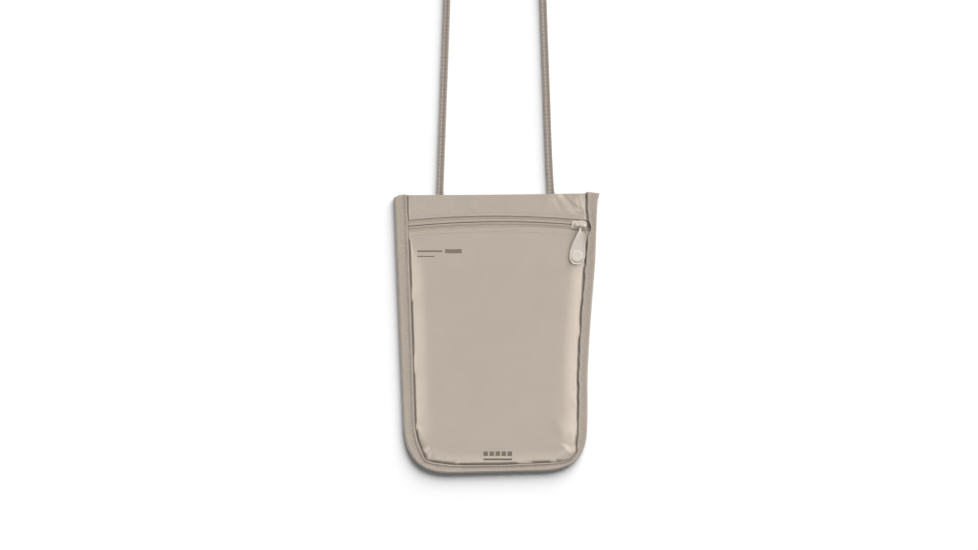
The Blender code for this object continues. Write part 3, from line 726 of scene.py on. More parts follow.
def side_x(y, inset, side):
    """Where the left (-1) or right (+1) side, moved inwards, crosses the heights y."""
    line = inset_line(inset)
    half = len(line) // 2
    part = line[:half] if side < 0 else line[:half:-1]
    order = np.argsort(part[:, 1])
    return np.interp(y, part[order, 1], part[order, 0])


def zip_y(x, offset):
    """The height of the arc that lies offset mm from the zip's centre line."""
    radius = ZIP_RADIUS + offset
    return ZIP_TOP_Y - ZIP_RADIUS + np.sqrt(radius * radius - np.asarray(x, float) ** 2)


def zip_centre(x):
    """The sewn zip sags a little from its arc towards the left."""
    return -0.15 - 0.45 * smoothstep((45 - np.asarray(x, float)) / 100)


def lower_lip(x):
    return LOWER_LIP - 0.15 - 1.0 * smoothstep((52 - np.asarray(x, float)) / 70)


def top_edge_y(x):
    u = (np.asarray(x, float) - EDGE[0, 0]) / (EDGE[-1, 0] - EDGE[0, 0])
    return EDGE[0, 1] + (EDGE[-1, 1] - EDGE[0, 1]) * u * u


# ---- creases

def ridge(x, y, a, b, width, height):
    """A soft fold from a to b that fades out at both ends."""
    a, b = np.array(a, float), np.array(b, float)
    d = b - a
    t = ((x - a[0]) * d[0] + (y - a[1]) * d[1]) / (d @ d)
    c = np.clip(t, 0, 1)
    away = np.hypot(x - a[0] - c * d[0], y - a[1] - c * d[1])
    fade = smoothstep(c / 0.3) * smoothstep((1 - c) / 0.3)
    return height * bump(away, width) * (0.25 + 0.75 * fade)


FRONT_FOLDS = [
    ((-43.8, -77.0), (-48.4, -84.8), 0.9, 0.95),
    ((-51.6, -66.0), (-45.2, -77.0), 1.5, 0.55),
    ((-42.6, -80.5), (-45.6, -85.2), 1.4, -0.35),
    ((43.6, -75.2), (51.8, -84.0), 0.75, 0.85),
    ((47.4, -74.8), (53.4, -81.0), 1.2, -0.40),
    ((38.0, -56.0), (47.5, -72.0), 3.6, 0.35),
    ((41.0, -81.8), (48.0, -78.4), 1.6, 0.30),
    ((50.0, -66.0), (54.6, -76.0), 1.8, 0.30),
    ((52.2, -44.0), (55.6, -52.0), 1.8, 0.30),
    ((-53.0, -52.0), (-49.0, -64.0), 2.2, 0.30),
    ((49.0, 44.0), (57.0, 54.0), 3.0, 0.35),
    ((-60.0, 60.0), (-52.0, 48.0), 2.6, 0.25),
]
FRONT_PIT = ((45.6, -75.4), 1.0, 0.55)
TOP_FOLDS = [
    ((43.6, 95.2), (56.4, 81.2), 1.9, -1.75),
    ((39.8, 93.5), (44.6, 82.5), 1.5, -0.45),
    ((55.6, 94.6), (58.8, 83.0), 1.4, 0.95),
    ((36.5, 93.0), (33.0, 83.0), 2.2, 0.25),
    ((-31.8, 92.0), (-32.6, 82.0), 1.8, 0.30),
    ((-50.2, 88.0), (-49.2, 81.6), 2.0, 0.25),
    ((-20.0, 92.0), (-14.0, 82.0), 3.0, 0.20),
    ((6.0, 91.0), (12.0, 83.0), 3.5, 0.20),
]


# ---- front panel

GRID_HALF_WIDTH = 66
GRID_HEIGHT = 176.0
PANEL_STEP = 1.6
PANEL_INSET = 2.6
FABRIC_THICKNESS = 0.24
HEM = [(0.26, -0.08), (0.38, -0.25), (0.26, -0.42), (-0.9, -0.5), (-2.2, -0.5)]
CROWN_LIMIT = 2.35
STUFFED = 0.6
EDGE_GAP = 0.9
GROOVE_DEPTH = 1.25
GROOVE_FOOT = 0.5
GROOVE_TOP = 1.3
# Points between the first two depths move onto the third.
GROOVE_BANDS = [(-1.1, 0.1, GROOVE_FOOT), (0.1, 1.7, GROOVE_TOP)]
NOSE_PIT = ((61.6, 69.0), 2.2, 1.3)
SWELL_FRAMES = 36
SWELL_PULL = 4.0


def clipped_grid(top_line, step, inset):
    """Points of a grid whose rows follow the zip's arc, cut to the outline; (points, faces, column heads)."""
    xs = np.arange(-GRID_HALF_WIDTH, GRID_HALF_WIDTH + step / 2, step)
    rows = int(GRID_HEIGHT / step)
    grid = np.stack([np.stack([xs, top_line(xs) - r * step], axis=1) for r in range(rows)])
    flat = grid.reshape(-1, 2)
    line = inset_line(under_tape(inset))
    near, depth = nearest_on(line, flat)
    inside = (depth > 0).reshape(grid.shape[:2])
    cell = inside[:-1, :-1] & inside[1:, :-1] & inside[:-1, 1:] & inside[1:, 1:]
    used = np.zeros_like(inside)
    share = np.zeros(inside.shape, int)
    for dr in (0, 1):
        for dc in (0, 1):
            used[dr:rows - 1 + dr, dc:len(xs) - 1 + dc] |= cell
            share[dr:rows - 1 + dr, dc:len(xs) - 1 + dc] += cell
    border = used & (share < 4)
    border[0] &= share[0] < 2
    snap = border.ravel() & (np.abs(depth) < 2 * step)
    flat[snap] = near[snap]
    flat[:len(xs), 1] = top_line(flat[:len(xs), 0])
    index = np.full(inside.shape, -1)
    index[used] = np.arange(used.sum())
    faces = [(index[r, c], index[r + 1, c], index[r + 1, c + 1], index[r, c + 1])
             for r in range(rows - 1) for c in range(len(xs) - 1) if cell[r, c]]
    return flat[used.ravel()], faces, index[0][index[0] >= 0]


def groove(depth):
    """How far a panel dives beside the binding: nothing inside GROOVE_TOP, all of it at GROOVE_FOOT."""
    return GROOVE_DEPTH * smoothstep((GROOVE_TOP - depth) / (GROOVE_TOP - GROOVE_FOOT))


def under_tape(inset):
    """An inset from the outer edge that stays under the tape, also at its narrow corners."""
    return np.minimum(inset, WIDTH - 1.9)


def line_up(flat):
    """Moves the grid's points next to the binding onto the groove's foot and its top edge."""
    near, depth = nearest_on(INNER_LINE, flat)
    inward = (flat - near) / np.where(np.abs(depth) < 1e-3, 1e-3, depth)[:, None]
    for low, high, target in GROOVE_BANDS:
        at = (depth > low) & (depth <= high)
        flat[at] = near[at] + inward[at] * target
    return flat


def front_rise(x, y):
    """How far the filled panel stands above its border, the depth inside the binding and below the seam."""
    _, depth = nearest_on(INNER_LINE, np.column_stack([x, y]))
    below = zip_y(x, LOWER_STITCH - 1.2) - y
    side = np.clip((depth - EDGE_GAP) / SIDE_SLOPE, 0, 1)
    return CROWN_RISE * (1 - (1 - side) ** 1.7) * smoothstep(below / ZIP_SLOPE), depth, below


def inflate(obj, pinned):
    """Lets the panel swell against its sewn border, with a little fabric to spare; its points in mm."""
    scene = bpy.context.scene
    group = obj.vertex_groups.new(name="sewn")
    group.add([int(i) for i in np.nonzero(pinned)[0]], 1.0, "REPLACE")
    cloth = obj.modifiers.new("cloth", "CLOTH")
    settings = cloth.settings
    settings.quality = 7
    settings.mass = 0.12
    settings.air_damping = 2.0
    settings.tension_stiffness = settings.compression_stiffness = 22
    settings.shear_stiffness = 12
    settings.bending_stiffness = 0.08
    settings.vertex_group_mass = "sewn"
    settings.shrink_min = -0.006
    cloth.collision_settings.use_collision = False
    cloth.collision_settings.use_self_collision = False
    cloth.point_cache.frame_start, cloth.point_cache.frame_end = 1, SWELL_FRAMES
    gravity = scene.gravity.copy()
    scene.gravity = (0, 0, SWELL_PULL)
    for number in range(1, SWELL_FRAMES + 1):
        scene.frame_set(number)
    swollen = obj.evaluated_get(bpy.context.evaluated_depsgraph_get())
    points = np.array([v.co for v in swollen.data.vertices]) / MM
    obj.modifiers.remove(cloth)
    obj.vertex_groups.clear()
    scene.frame_set(1)
    scene.gravity = gravity
    return points


def make_front_panel():
    """The filled front: swollen, creased, dived beside the binding, its top edge hemmed along the zip."""
    flat, faces, heads = clipped_grid(lambda x: zip_y(x, lower_lip(x)), PANEL_STEP, PANEL_INSET)
    x, y = line_up(flat).T
    rise, depth, below = front_rise(x, y)
    points = np.column_stack([x, y, PANEL_TOP_Z + rise])
    trial = add_mesh("panel_trial", points, faces, FABRIC)
    points = inflate(trial, (depth < EDGE_GAP) | (below < 0))
    bpy.data.objects.remove(trial)
    height = points[:, 2] - PANEL_TOP_Z
    height = np.where(height > 0, CROWN_LIMIT * np.tanh(height / CROWN_LIMIT), height)
    height += STUFFED * (rise - height)
    held = smoothstep(depth / 2.0) * smoothstep(below / 4.0)
    folds = sum(ridge(x, y, *fold) for fold in FRONT_FOLDS)
    pit, pit_width, pit_depth = FRONT_PIT
    folds -= pit_depth * bump(np.hypot(x - pit[0], y - pit[1]), pit_width)
    soft = 0.10 * wobbles(x / 30, y / 42, 3.0) + 0.05 * wobbles(x / 9, y / 16, 8.0)
    near_edge = bump(depth - 2.5, 3.0) * held
    puckers = wobbles(x / 5.5, y / 4.6, 2.0) * 0.16 * near_edge
    sunk = groove(depth) * (0.6 + 0.4 * smoothstep((below + 1.0) / 3.0))
    nose, nose_width, nose_depth = NOSE_PIT
    sunk += nose_depth * bump(np.hypot(x - nose[0], (y - nose[1]) * 0.7), nose_width)
    points[:, 2] = PANEL_TOP_Z + height + held * (folds + soft) + puckers - sunk
    hem = [points[heads] + (0, dy, dz) for dy, dz in HEM]
    before = heads
    for k in range(len(HEM)):
        after = np.arange(len(heads)) + len(flat) + k * len(heads)
        faces += [(before[i], before[i + 1], after[i + 1], after[i]) for i in range(len(heads) - 1)]
        before = after
    points = np.concatenate([points] + hem)
    panel = add_mesh("front_panel_cloth", points, faces, FABRIC)
    face_up(panel)
    subdivide(panel)
    solidify(panel, FABRIC_THICKNESS)
    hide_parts("front_panel")
    return panel


FRONT = make_front_panel()
FRONT_TREE = BVHTree.FromObject(FRONT, bpy.context.evaluated_depsgraph_get())


def front_z(x, y):
    """The front panel's finished height, in mm, at points in mm."""
    heights = []
    for px, py in zip(np.ravel(x), np.ravel(y)):
        hit = FRONT_TREE.ray_cast(Vector((px * MM, py * MM, 0.05)), Vector((0, 0, -1)))[0]
        heights.append(hit.z / MM if hit else PANEL_TOP_Z)
    return np.array(heights)


# ---- top panel, back panel and linings

TOP_DROP = 0.75
TOP_FOLD = [(-0.7, -2.2), (0.05, -2.15), (0.25, -1.9), (0.3, -1.2), (0.3, -0.5), (0.2, -0.12)]
BACK_BOTTOM_Y = -92.4
BACK_THICKNESS = 0.36
LINING_THICKNESS = 0.16
BACK_LINING_Z = 1.44


def top_panel_z(x, y):
    """Slopes a little from the zip to the folded top edge, and rises over the two sewn cord ends."""
    stitch = zip_y(x, UPPER_STITCH)
    down = np.clip((y - stitch) / (top_edge_y(x) - stitch), 0, 1) ** 2.0
    slope = PANEL_TOP_Z - TOP_DROP * down
    for anchor in (CORD_LEFT_ROUTE[0][0], CORD_RIGHT_ROUTE[0][0]):
        rise = smoothstep((13.0 - np.abs(x - anchor)) / 10.0)
        slope = np.maximum(slope, PANEL_TOP_Z - TOP_DROP + (TOP_DROP - 0.3) * rise)
    return slope


def make_top_panel():
    """The strip between the zip and the top edge, hemmed along the zip and folded over at the top."""
    rows, columns = 19, 100
    grid = []
    for v in np.linspace(1, 0, rows):
        y_guess = 82 + 12 * v
        left, right = side_x(y_guess, WIDTH, -1), side_x(y_guess, WIDTH, 1)
        beside = np.array([-1.2, GROOVE_FOOT, GROOVE_TOP])
        x = np.concatenate([[side_x(y_guess, PANEL_INSET, -1)], left + beside,
                            np.linspace(left + 2.2, right - 2.2, columns - 8),
                            (right - beside)[::-1], [side_x(y_guess, PANEL_INSET, 1)]])
        low, high = zip_y(x, UPPER_LIP), top_edge_y(x) - 0.3
        y = low + (high - low) * v
        z = top_panel_z(x, y) - 0.8 * groove(np.minimum(x - left, right - x))
        held = smoothstep((y - zip_y(x, UPPER_STITCH)) / 2.5)
        folds = sum(ridge(x, y, *fold) for fold in TOP_FOLDS)
        soft = 0.14 * wobbles(x / 11, y / 7, 4.0)
        grid.append(np.column_stack([x, y, z + held * (folds + soft)]))
    first, last = grid[0], grid[-1]
    top_rows = [first + (0, dy, dz) for dy, dz in TOP_FOLD]
    lip_rows = [last + (0, -dy, dz) for dy, dz in HEM]
    grid = top_rows + grid + lip_rows
    verts = np.concatenate(grid)
    panel = add_mesh("top_panel_cloth", verts, grid_faces(len(grid), columns), FABRIC)
    face_up(panel)
    subdivide(panel)
    solidify(panel, FABRIC_THICKNESS)
    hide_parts("top_panel")
    return panel


def make_back_panel():
    """The plain back, quilted a little by what the pouch holds."""
    rows, columns = 96, 68
    verts = []
    for y in np.linspace(float(top_edge_y(0)) - 0.5, BACK_BOTTOM_Y, rows):
        left, right = side_x(y, PANEL_INSET, -1), side_x(y, PANEL_INSET, 1)
        for x in np.linspace(left, right, columns):
            verts.append((x, y, BACK_Z + 0.4 + 0.05 * wobble(x / 14, y / 14, 9.0)))
    panel = add_mesh("back_panel_cloth", verts, grid_faces(rows, columns), FABRIC)
    face_up(panel)
    solidify(panel, BACK_THICKNESS)
    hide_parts("back_panel")
    return panel


def lining_drop(x, y):
    """How far the lining hangs under the front panel, more where the panel bends down to its seam."""
    _, depth = nearest_on(INNER_LINE, np.column_stack([x, y]))
    return FABRIC_THICKNESS + 0.3 + 0.9 * bump(depth - 1.0, 3.5)


def make_lining(name, node, top_offset, height):
    flat, faces, _ = clipped_grid(lambda x: zip_y(x, top_offset), 3.0, 3.0)
    points = np.column_stack([flat, height(flat[:, 0], flat[:, 1])])
    lining = add_mesh(name, points, faces, LINING)
    face_up(lining)
    solidify(lining, LINING_THICKNESS)
    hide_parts(node)
    return lining


TOP = make_top_panel()
BACK = make_back_panel()
FRONT_LINING = make_lining("front_lining_cloth", "front_lining", -8.2,
                           lambda x, y: front_z(x, y) - lining_drop(x, y))
BACK_LINING = make_lining("back_lining_cloth", "back_lining", UPPER_TAPE_EDGE - 0.6,
                          lambda x, y: BACK_LINING_Z + 0.05 * wobbles(x / 10, y / 10, 6.0))


# ---- edge binding and its stitches

STITCH_PITCH = 3.1
STITCH_LENGTH = 2.35
STITCH_RADIUS = 0.2
STITCH_SHARE = 0.63
STITCH_DIVE = 0.34
ZIP_STITCH_PITCH = 2.7
UP = np.array([0, 0, 1.0])
FOLD_HALF = BINDING_TOP_Z / 2
FOLD_REACH = 1.35
LEFT_END_DROP = 1.7
RIGHT_END_DROP = 0.2
RIGHT_END_OUT = 0.8


def tape_top_z(share, along, wave):
    """The front leaf's height: dipped along the stitches, most at each needle hole, then over the fold."""
    dip = 0.30 * bump(share - STITCH_SHARE, 0.13)
    hole = np.abs(np.mod(along / STITCH_PITCH, 1.0) - 0.5) * 2
    dip += 0.20 * bump(share - STITCH_SHARE, 0.07) * smoothstep((hole - 0.5) / 0.5)
    lifted = 0.52 * smoothstep((share - 0.78) / 0.10) * (1.0 + 0.6 * wave)
    lifted -= 0.40 * smoothstep((share - 0.93) / 0.07)
    bead = 0.34 * bump(share - 0.17, 0.08) - 0.14 * bump(share - 0.38, 0.12)
    return BINDING_TOP_Z + bead - dip + lifted


def make_binding():
    """One tape folded round the edge of every layer, from the top left to the top right corner."""
    front = [1.0, 0.985, 0.96, 0.93, 0.89, 0.84, 0.79, 0.74, 0.69,
             0.66, 0.63, 0.60, 0.56, 0.50, 0.43, 0.36, 0.29, 0.22]
    back = [0.28, 0.42, 0.6, 0.8, 1.0]
    fold = np.radians(np.linspace(68, -68, 11))
    rows = []
    for i in range(len(EDGE)):
        width, along, wave = TAPE_WIDTH[i], EDGE_AT[i], PUCKER[i]
        section = [(width * t, float(tape_top_z(t, along, wave))) for t in front]
        section += [(FOLD_REACH * (1 - math.cos(a)), FOLD_HALF + FOLD_HALF * math.sin(a)) for a in fold]
        section += [(EDGE[i, 2] * t, 0.0) for t in back]
        left_end = ease(1 - along / 7.0)
        right_end = ease(1 - (EDGE_AT[-1] - along) / 5.0)
        for inset, z in section:
            px, py = EDGE[i, :2] + INWARD[i] * inset
            outer = ease(1 - inset / 5.0)
            px += RIGHT_END_OUT * right_end * outer
            py -= (LEFT_END_DROP * left_end + RIGHT_END_DROP * right_end) * outer
            rows.append((px, py, z))
    columns = len(front) + len(fold) + len(back)
    tucked_ends = [list(range(columns)), list(range(len(rows) - columns, len(rows)))]
    faces = grid_faces(len(EDGE), columns) + tucked_ends
    binding = add_mesh("edge_binding_tape", rows, faces, BINDING)
    bm = bmesh.new()
    bm.from_mesh(binding.data)
    bmesh.ops.recalc_face_normals(bm, faces=bm.faces[:])
    bm.to_mesh(binding.data)
    bm.free()
    face_up(binding, BINDING_TOP_Z - 0.15)
    solidify(binding, BINDING_THICKNESS)
    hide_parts("edge_binding")


def stitch_mesh(name, places):
    """A row of thread loops: each place is (middle, direction) in mm; ends dive into the cloth."""
    rings, sides = 9, 8
    verts, faces = [], []
    for middle, along in places:
        across = np.cross(along, UP)
        faces += capped(rings, sides, len(verts))
        for t in np.linspace(-1, 1, rings):
            centre = middle + along * (STITCH_LENGTH / 2) * t - UP * (STITCH_DIVE * abs(t) ** 3)
            radius = STITCH_RADIUS * math.sqrt(max(0.08, 1 - abs(t) ** 6))
            for angle in round_angles(sides):
                verts.append(centre + across * radius * math.cos(angle) + UP * radius * math.sin(angle))
    return add_mesh(name, verts, faces, THREAD)


def make_binding_stitches():
    """One row all round, along the dip in the tape's front leaf."""
    line = inset_line(TAPE_WIDTH * STITCH_SHARE)
    places = []
    for k in range(int(EDGE_AT[-1] / STITCH_PITCH)):
        at = (k + 0.5) * STITCH_PITCH
        x, next_x = np.interp((at, at + 1), EDGE_AT, line[:, 0])
        y, next_y = np.interp((at, at + 1), EDGE_AT, line[:, 1])
        z = float(tape_top_z(STITCH_SHARE, at, 0.0)) + STITCH_RADIUS * 0.35
        places.append((np.array([x, y, z]), unit(np.array([next_x - x, next_y - y, 0]))))
    stitches = stitch_mesh("binding_stitches", places)
    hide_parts("binding_thread")


def make_zip_stitches(name, node, offset, height):
    """Topstitching beside the zip, sunk in the cloth."""
    y_end = float(zip_y(60, offset))
    left, right = [float(side_x(y_end, EDGE[:, 2], s)) for s in (-1, 1)]
    places = []
    for k in range(int((right - left - 1.5) / ZIP_STITCH_PITCH)):
        x = left + 1.6 + k * ZIP_STITCH_PITCH
        y = float(zip_y(x, offset))
        z = height(x, y) + STITCH_RADIUS * 0.15
        places.append((np.array([x, y, z]), unit(np.array([1.0, -x / ZIP_RADIUS, 0]))))
    stitches = stitch_mesh(name, places)
    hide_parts(node)


make_binding()
make_binding_stitches()
make_zip_stitches("zip_stitches_lower", "zip_thread_lower", LOWER_STITCH, lambda x, y: front_z([x], [y])[0])
make_zip_stitches("zip_stitches_upper", "zip_thread_upper", UPPER_STITCH, lambda x, y: PANEL_TOP_Z)


# ---- zip tapes and coils

TAPE_END_DROP = 1.3
ZIP_TAPE_THICKNESS = 0.26
WIND_PITCH = 1.25
WIND_RADIUS = 0.30
WIRE_RADIUS = 0.15


def make_zip_tape(name, node, side, edge):
    """A woven tape with ribs beside the coil and a bead along its inner edge."""
    top = TAPE_Z + TAPE_THICKNESS
    inner = ZIP_HALF_GAP - 0.32
    profile = [(inner + 0.10, -0.30), (inner, -0.10), (inner + 0.08, 0.10), (inner + 0.35, 0.20),
               (inner + 0.75, 0.20), (1.35, 0.12), (1.70, 0.08), (1.84, -0.10), (2.0, -0.18), (2.16, -0.10),
               (2.3, 0.06), (2.65, 0.07), (2.86, -0.08), (3.02, -0.15), (3.18, -0.08), (3.35, 0.03),
               (4.2, 0.0), (5.4, 0.0), (abs(edge), 0.0)]
    xs = np.linspace(ZIP_END_LEFT, ZIP_END_RIGHT, 132)
    rows = []
    for x in xs:
        end_drop = TAPE_END_DROP * ease((x - COIL_END + 0.6) / 1.8)
        for offset, dz in profile:
            centre = float(zip_centre(x)) * ease((6.0 - offset) / 4.0)
            rows.append((x, float(zip_y(x, side * offset + centre)), top + dz - end_drop))
    tape = add_mesh(name, rows, grid_faces(len(xs), len(profile)), ZIP_TAPE)
    face_up(tape)
    solidify(tape, ZIP_TAPE_THICKNESS)
    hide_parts(node)


def make_zip_coil(name, node, offset, phase):
    """The coil under the tape's inner edge: a wound monofilament."""
    per_turn, sides = 10, 6
    count = int(2 * COIL_END / WIND_PITCH) * per_turn
    line = []
    for i in range(count + 1):
        x = -COIL_END + 2 * COIL_END * i / count
        angle = 2 * math.pi * (i / per_turn + phase)
        y = float(zip_y(x, offset)) + WIND_RADIUS * math.cos(angle)
        line.append((x, y, COIL_Z + WIND_RADIUS * math.sin(angle)))
    line = np.array(line)
    verts = []
    for centre, side, up in zip(line, *across_line(line, (1.0, 0, 0.01))):
        for angle in round_angles(sides):
            verts.append(centre + side * WIRE_RADIUS * math.cos(angle) + up * WIRE_RADIUS * math.sin(angle))
    coil = add_mesh(name, verts, capped(len(line), sides), COIL)
    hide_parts(node)


make_zip_tape("zip_tape_upper_woven", "zip_tape_upper", 1, UPPER_TAPE_EDGE)
make_zip_tape("zip_tape_lower_woven", "zip_tape_lower", -1, LOWER_TAPE_EDGE)
make_zip_coil("zip_coil_upper_wound", "zip_coil_upper", 0.95, 0.0)
make_zip_coil("zip_coil_lower_wound", "zip_coil_lower", -0.95, 0.5)


# ---- slider and pull

SLIDER_TURN = -math.asin(SLIDER_X / ZIP_RADIUS)
BLOCK_SIDES = 24
# The post, the lower plate and its two flanges: spans along, across and up, and how far their edges are eased.
SLIDER_BLOCKS = [
    ((1.3, 4.6), (-0.3, 0.3), (1.9, 4.3), 0.05),
    ((-5.0, 5.0), (-2.9, 2.9), (1.76, 2.15), 0.1),
    ((-3.0, 3.0), (-2.75, -2.25), (2.0, 3.1), 0.08),
    ((-3.0, 3.0), (2.25, 2.75), (2.0, 3.1), 0.08),
]
BRIDGE_ARCH = [(-3.1, 4.3), (-3.0, 5.4), (-2.3, 6.35), (-1.1, 6.6), (0.9, 6.45), (2.7, 6.6), (4.0, 6.3),
               (4.6, 5.4), (4.7, 4.3)]


def slider_place(s, n, z):
    """From the slider's own frame (s along the zip, n across it) to the row frame, in mm."""
    c, k = math.cos(SLIDER_TURN), math.sin(SLIDER_TURN)
    radius = ZIP_RADIUS + n
    return (c * s - k * radius, ZIP_TOP_Y - ZIP_RADIUS + k * s + c * radius, z)


def slider_half(share):
    """Half the slider's width from its tail (0) to its nose (1)."""
    wide = SLIDER_TAIL_HALF + (SLIDER_NOSE_HALF - SLIDER_TAIL_HALF) * ease((share - 0.25) / 0.4)
    tail = math.sqrt(max(0.0, 1 - max(0.0, (0.11 - share) / 0.11) ** 2.2))
    nose = math.sqrt(max(0.0, 1 - max(0.0, (share - 0.74) / 0.26) ** 2.4))
    return wide * (0.72 + 0.28 * tail) * nose


def add_block(verts, faces, along, across, up, ease):
    """Adds a small closed block with eased edges, from its spans in the slider's frame."""
    faces += capped(4, BLOCK_SIDES, len(verts))
    for z, shrink in ((up[0], ease), (up[0] + ease, 0.0), (up[1] - ease, 0.0), (up[1], ease)):
        for angle in round_angles(BLOCK_SIDES):
            s, n = [(low + high) / 2 + ((high - low) / 2 - shrink) * signed_power(turned, 0.35)
                    for (low, high), turned in ((along, math.cos(angle)), (across, math.sin(angle)))]
            verts.append(slider_place(s, n, z))


def make_slider():
    """The slider's shell: a domed top plate, a post, a lower plate and its two side flanges."""
    stations, sides = 33, 28
    verts = []
    for i in range(stations):
        share = 0.5 - 0.5 * math.cos(math.pi * i / (stations - 1))
        s = (share - 0.5) * (SLIDER_LENGTH - 0.1)
        half = max(slider_half(share), 0.25)
        lift = ease(min(share, 1 - share) / 0.10)
        low, high = 4.0 + 0.18 * (1 - lift), SLIDER_PLATE_TOP - 0.22 * (1 - lift)
        for angle in round_angles(sides):
            n = half * signed_power(math.cos(angle), 0.6)
            dome = 0.22 * (1 - (n / half) ** 2) * lift
            z = (low + high) / 2 + signed_power(math.sin(angle), 0.55) * (high - low) / 2
            if math.sin(angle) > 0:
                z += math.sin(angle) ** 0.55 * dome
            verts.append(slider_place(s, n, z))
    faces = capped(stations, sides)
    for spans in SLIDER_BLOCKS:
        add_block(verts, faces, *spans)
    shell = add_mesh("slider_shell", verts, faces, METAL, body="slider")
    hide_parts("slider_body")


def make_bridge():
    """The arched bar: broad lugs at its feet, a round waist where the pull hooks on."""
    line = through([(s, 0, z) for s, z in BRIDGE_ARCH], 8)
    verts, sides = [], 20
    for centre, ahead in zip(line, unit(np.gradient(line, axis=0))):
        normal = np.array([-ahead[2], 0, ahead[0]])
        waist = float(bump(centre[0] - EYE_S, 1.25))
        half_wide = 1.22 - 0.62 * waist
        half_thick = 0.52 + 0.03 * waist
        for angle in round_angles(sides):
            spot = centre + normal * half_thick * signed_power(math.sin(angle), 0.8)
            verts.append(slider_place(spot[0], half_wide * signed_power(math.cos(angle), 0.8), spot[2]))
    bridge = add_mesh("slider_bridge_bar", verts, capped(len(line), sides), METAL, body="slider")
    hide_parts("slider_bridge")


PULL_LEAN = 0.025
RIM_WIDTH = 0.75
RIM_HEIGHT = 0.32
RIM_HOLLOW = 0.10
# The stud's face as (radius, how far it lies below the ring's top).
DISH = [(0.0, 0.10), (0.9, 0.10), (1.7, 0.08), (2.3, 0.04), (2.8, 0.01), (3.15, 0.0), (3.4, 0.02),
        (3.6, 0.06), (3.75, 0.11), (3.95, 0.2), (DISC_RADIUS, 0.36)]
PULL_OUTLINE = np.concatenate([bezier(knots, 24)[0 if i == 0 else 1:] for i, knots in enumerate(PULL_SIDE)])


def pull_place(across, along, z):
    """From the pull's own frame (across it, along it from its hinge, above the hinge) to the row frame."""
    return slider_place(EYE_S + across - PULL_LEAN * along, -along, BAR_Z + z)


def pull_half(along):
    return float(np.interp(along, PULL_OUTLINE[:, 0], PULL_OUTLINE[:, 1]))


def pull_rise(along):
    return PULL_RISE * ease((along - 1.0) / 5.0)


def tab_points(rows, columns, face):
    """One face of the tab, 1 for the top with its rim and -1 for the plain underside."""
    start, end = 1.0, PULL_LENGTH - 0.02
    points = []
    for t in np.arange(rows) / (rows - 1):
        along = start + (end - start) * (1 - (1 - t) ** 2.0)
        half = pull_half(along)
        for c in range(columns):
            u = signed_power(-1 + 2 * c / (columns - 1), 0.8)
            inside = min(half * (1 - abs(u)), (PULL_LENGTH - along) * 0.9)
            edge = math.sqrt(max(0.0, 1 - max(0.0, 1 - inside / 0.3) ** 2))
            z = pull_rise(along) + face * (PULL_THICKNESS / 2) * edge
            if face > 0:
                z += RIM_HEIGHT * float(bump(inside - 0.45, 0.34)) * ease((along - 5) / 3)
                z -= RIM_HOLLOW * ease((inside - RIM_WIDTH) / 0.6)
            points.append(pull_place(half * u, along, z))
    return points


def eye_points(around, tube):
    """The ring that goes round the bridge."""
    middle, swing = (EYE_INNER + EYE_OUTER) / 2, (EYE_OUTER - EYE_INNER) / 2
    points = []
    for turn in round_angles(around):
        for angle in round_angles(tube):
            radial = middle + swing * math.cos(angle)
            across = EYE_WIDTH / 2 * signed_power(math.sin(angle), 0.7)
            points.append(pull_place(across, radial * math.cos(turn), radial * math.sin(turn)))
    return points


def make_pull():
    """The teardrop tab with a raised rim, and its eye round the bridge."""
    rows, columns = 64, 29
    around, tube = 36, 16
    count = rows * columns
    verts = tab_points(rows, columns, 1) + tab_points(rows, columns, -1) + eye_points(around, tube)
    faces = grid_faces(rows, columns)
    faces += [tuple(reversed(f)) for f in grid_faces(rows, columns, False, count)]
    border = [r * columns for r in range(rows)] + [(rows - 1) * columns + c for c in range(1, columns)]
    border += [r * columns + columns - 1 for r in reversed(range(rows - 1))]
    border += list(reversed(range(1, columns - 1)))
    faces += [(b, a, a + count, b + count) for a, b in zip(border, border[1:] + border[:1])]
    faces += looped_faces(around, tube, True, 2 * count)
    tab = add_mesh("pull_tab_cast", verts, faces, ENAMEL, body="pull")
    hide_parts("pull_tab")


def make_disc():
    """A round stud set in the tab: a plain dished face inside a raised ring."""
    low = PULL_RISE + PULL_THICKNESS / 2 - 0.35
    high = PULL_RISE + PULL_THICKNESS / 2 + DISC_PROUD
    profile = [(radius, high - drop) for radius, drop in DISH] + [(DISC_RADIUS, low), (0.0, low)]
    around = 48
    verts = []
    for radius, z in profile:
        grow = max(radius, 0.02)
        for angle in round_angles(around):
            verts.append(pull_place(grow * math.cos(angle), DISC_AT + grow * math.sin(angle), z))
    disc = add_mesh("pull_disc_stud", verts, capped(len(profile), around), DISC_ENAMEL, body="pull")
    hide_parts("pull_disc")


make_slider()
make_bridge()
make_pull()
make_disc()


# ---- generic printed marks

INK_LIFT = 0.05
INK_THICKNESS = 0.05


def make_print(name, bars):
    """Plain bars that lie on the front panel's surface, each given as (x0, x1, y0, y1)."""
    verts, faces = [], []
    for x0, x1, y0, y1 in bars:
        columns = max(4, int((x1 - x0) / 0.4))
        rows = max(3, int((y1 - y0) / 0.3))
        x, y = [g.ravel() for g in np.meshgrid(np.linspace(x0, x1, columns), np.linspace(y0, y1, rows))]
        faces += grid_faces(rows, columns, False, len(verts))
        verts += list(np.column_stack([x, y, front_z(x, y) + INK_LIFT]))
    ink = add_mesh(name, verts, faces, INK)
    face_up(ink)
    solidify(ink, INK_THICKNESS)


make_print("print_upper", [(-53.6, -36.5, 55.0, 56.1), (-34.6, -23.4, 54.2, 56.9),
                           (-53.6, -42.0, 51.6, 52.3)])
make_print("print_lower", [(-8.6 + 4.1 * k, -5.6 + 4.1 * k, -83.6, -80.6) for k in range(5)]
           + [(-8.6, 10.8, -86.6, -85.4)])


# ---- floor and light

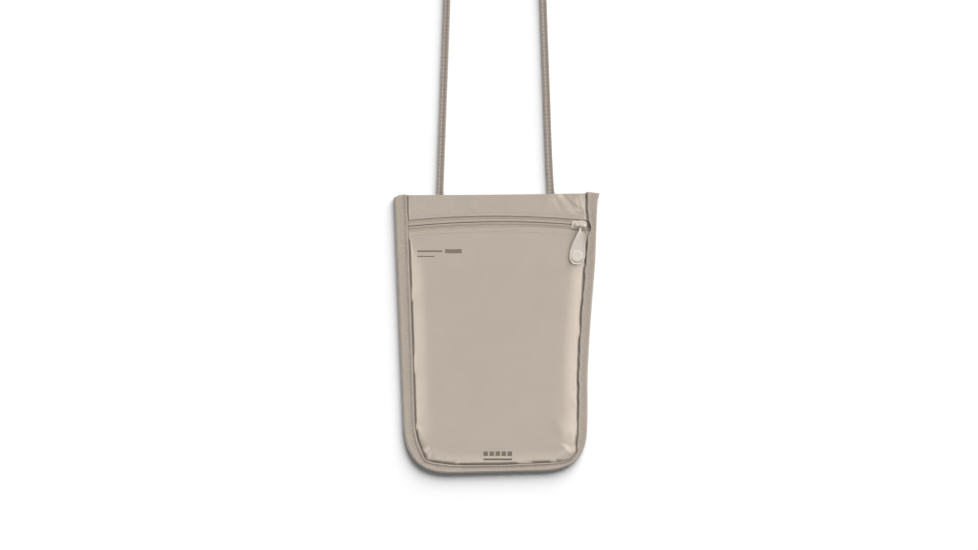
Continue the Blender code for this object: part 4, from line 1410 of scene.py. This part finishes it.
FLOOR_HALF = 6.0
FLOOR_DROP = 0.00005
WORLD_STRENGTH = 0.17
KEY_FROM = (0.78, 1.85, 1.30)
KEY_POWER = 5.5
KEY_ANGLE = 52
# Each box as its name, position, size and power.
FILL_BOXES = [
    ("left_box", (-1.0, 0.0, 1.0), (0.9, 1.4), 8.0),
    ("right_box", (1.0, 0.0, 1.0), (0.9, 1.4), 8.0),
    ("low_box", (0.0, -1.1, 1.2), (1.2, 0.5), 5.5),
]


def make_floor():
    """A plain paper floor just below the pouch; sizes in metres."""
    corners = [(x * FLOOR_HALF, y * FLOOR_HALF, 0) for x, y in ((-1, -1), (1, -1), (1, 1), (-1, 1))]
    mesh = bpy.data.meshes.new("floor")
    mesh.from_pydata(corners, [], [(0, 1, 2, 3)])
    floor = bpy.data.objects.new("floor", mesh)
    floor.location.z = -FLOOR_DROP
    bpy.context.scene.collection.objects.link(floor)
    paper = Surface("paper", (0.93, 0.93, 0.93), 0.9)
    paper.bump(paper.noise(0.4, 2.0), 0.01)
    mesh.materials.append(paper.material)
    return floor


def add_light(kind, name, position, power):
    """A light at a position in metres, aimed at the object."""
    data = bpy.data.lights.new(name, kind)
    data.energy = power
    light = bpy.data.objects.new(name, data)
    light.location = position
    light.rotation_euler = (-Vector(position)).to_track_quat("-Z", "Y").to_euler()
    bpy.context.scene.collection.objects.link(light)
    return light


def fill_box(name, position, size, power, unlit):
    """A soft box that lights the object and not the floor, so that the key alone shapes the shadow."""
    light = add_light("AREA", name, position, power)
    light.data.shape = "RECTANGLE"
    light.data.size, light.data.size_y = size
    light.light_linking.receiver_collection = unlit


def make_light(floor):
    scene = bpy.context.scene
    world = bpy.data.worlds.new("studio")
    scene.world = world
    world.use_nodes = True
    background = world.node_tree.nodes["Background"]
    background.inputs["Color"].default_value = (1.0, 1.0, 1.0, 1.0)
    background.inputs["Strength"].default_value = WORLD_STRENGTH
    unlit = bpy.data.collections.new("no_fill_light")
    unlit.objects.link(floor)
    unlit.collection_objects[0].light_linking.link_state = "EXCLUDE"
    key = add_light("SUN", "key", KEY_FROM, KEY_POWER)
    key.data.angle = math.radians(KEY_ANGLE)
    key.visible_glossy = False
    for box in FILL_BOXES:
        fill_box(*box, unlit)
    scene.view_settings.view_transform = "Standard"
    scene.view_settings.look = "None"
    scene.view_settings.exposure = 0.0
    scene.view_settings.gamma = 1.0


make_light(make_floor())
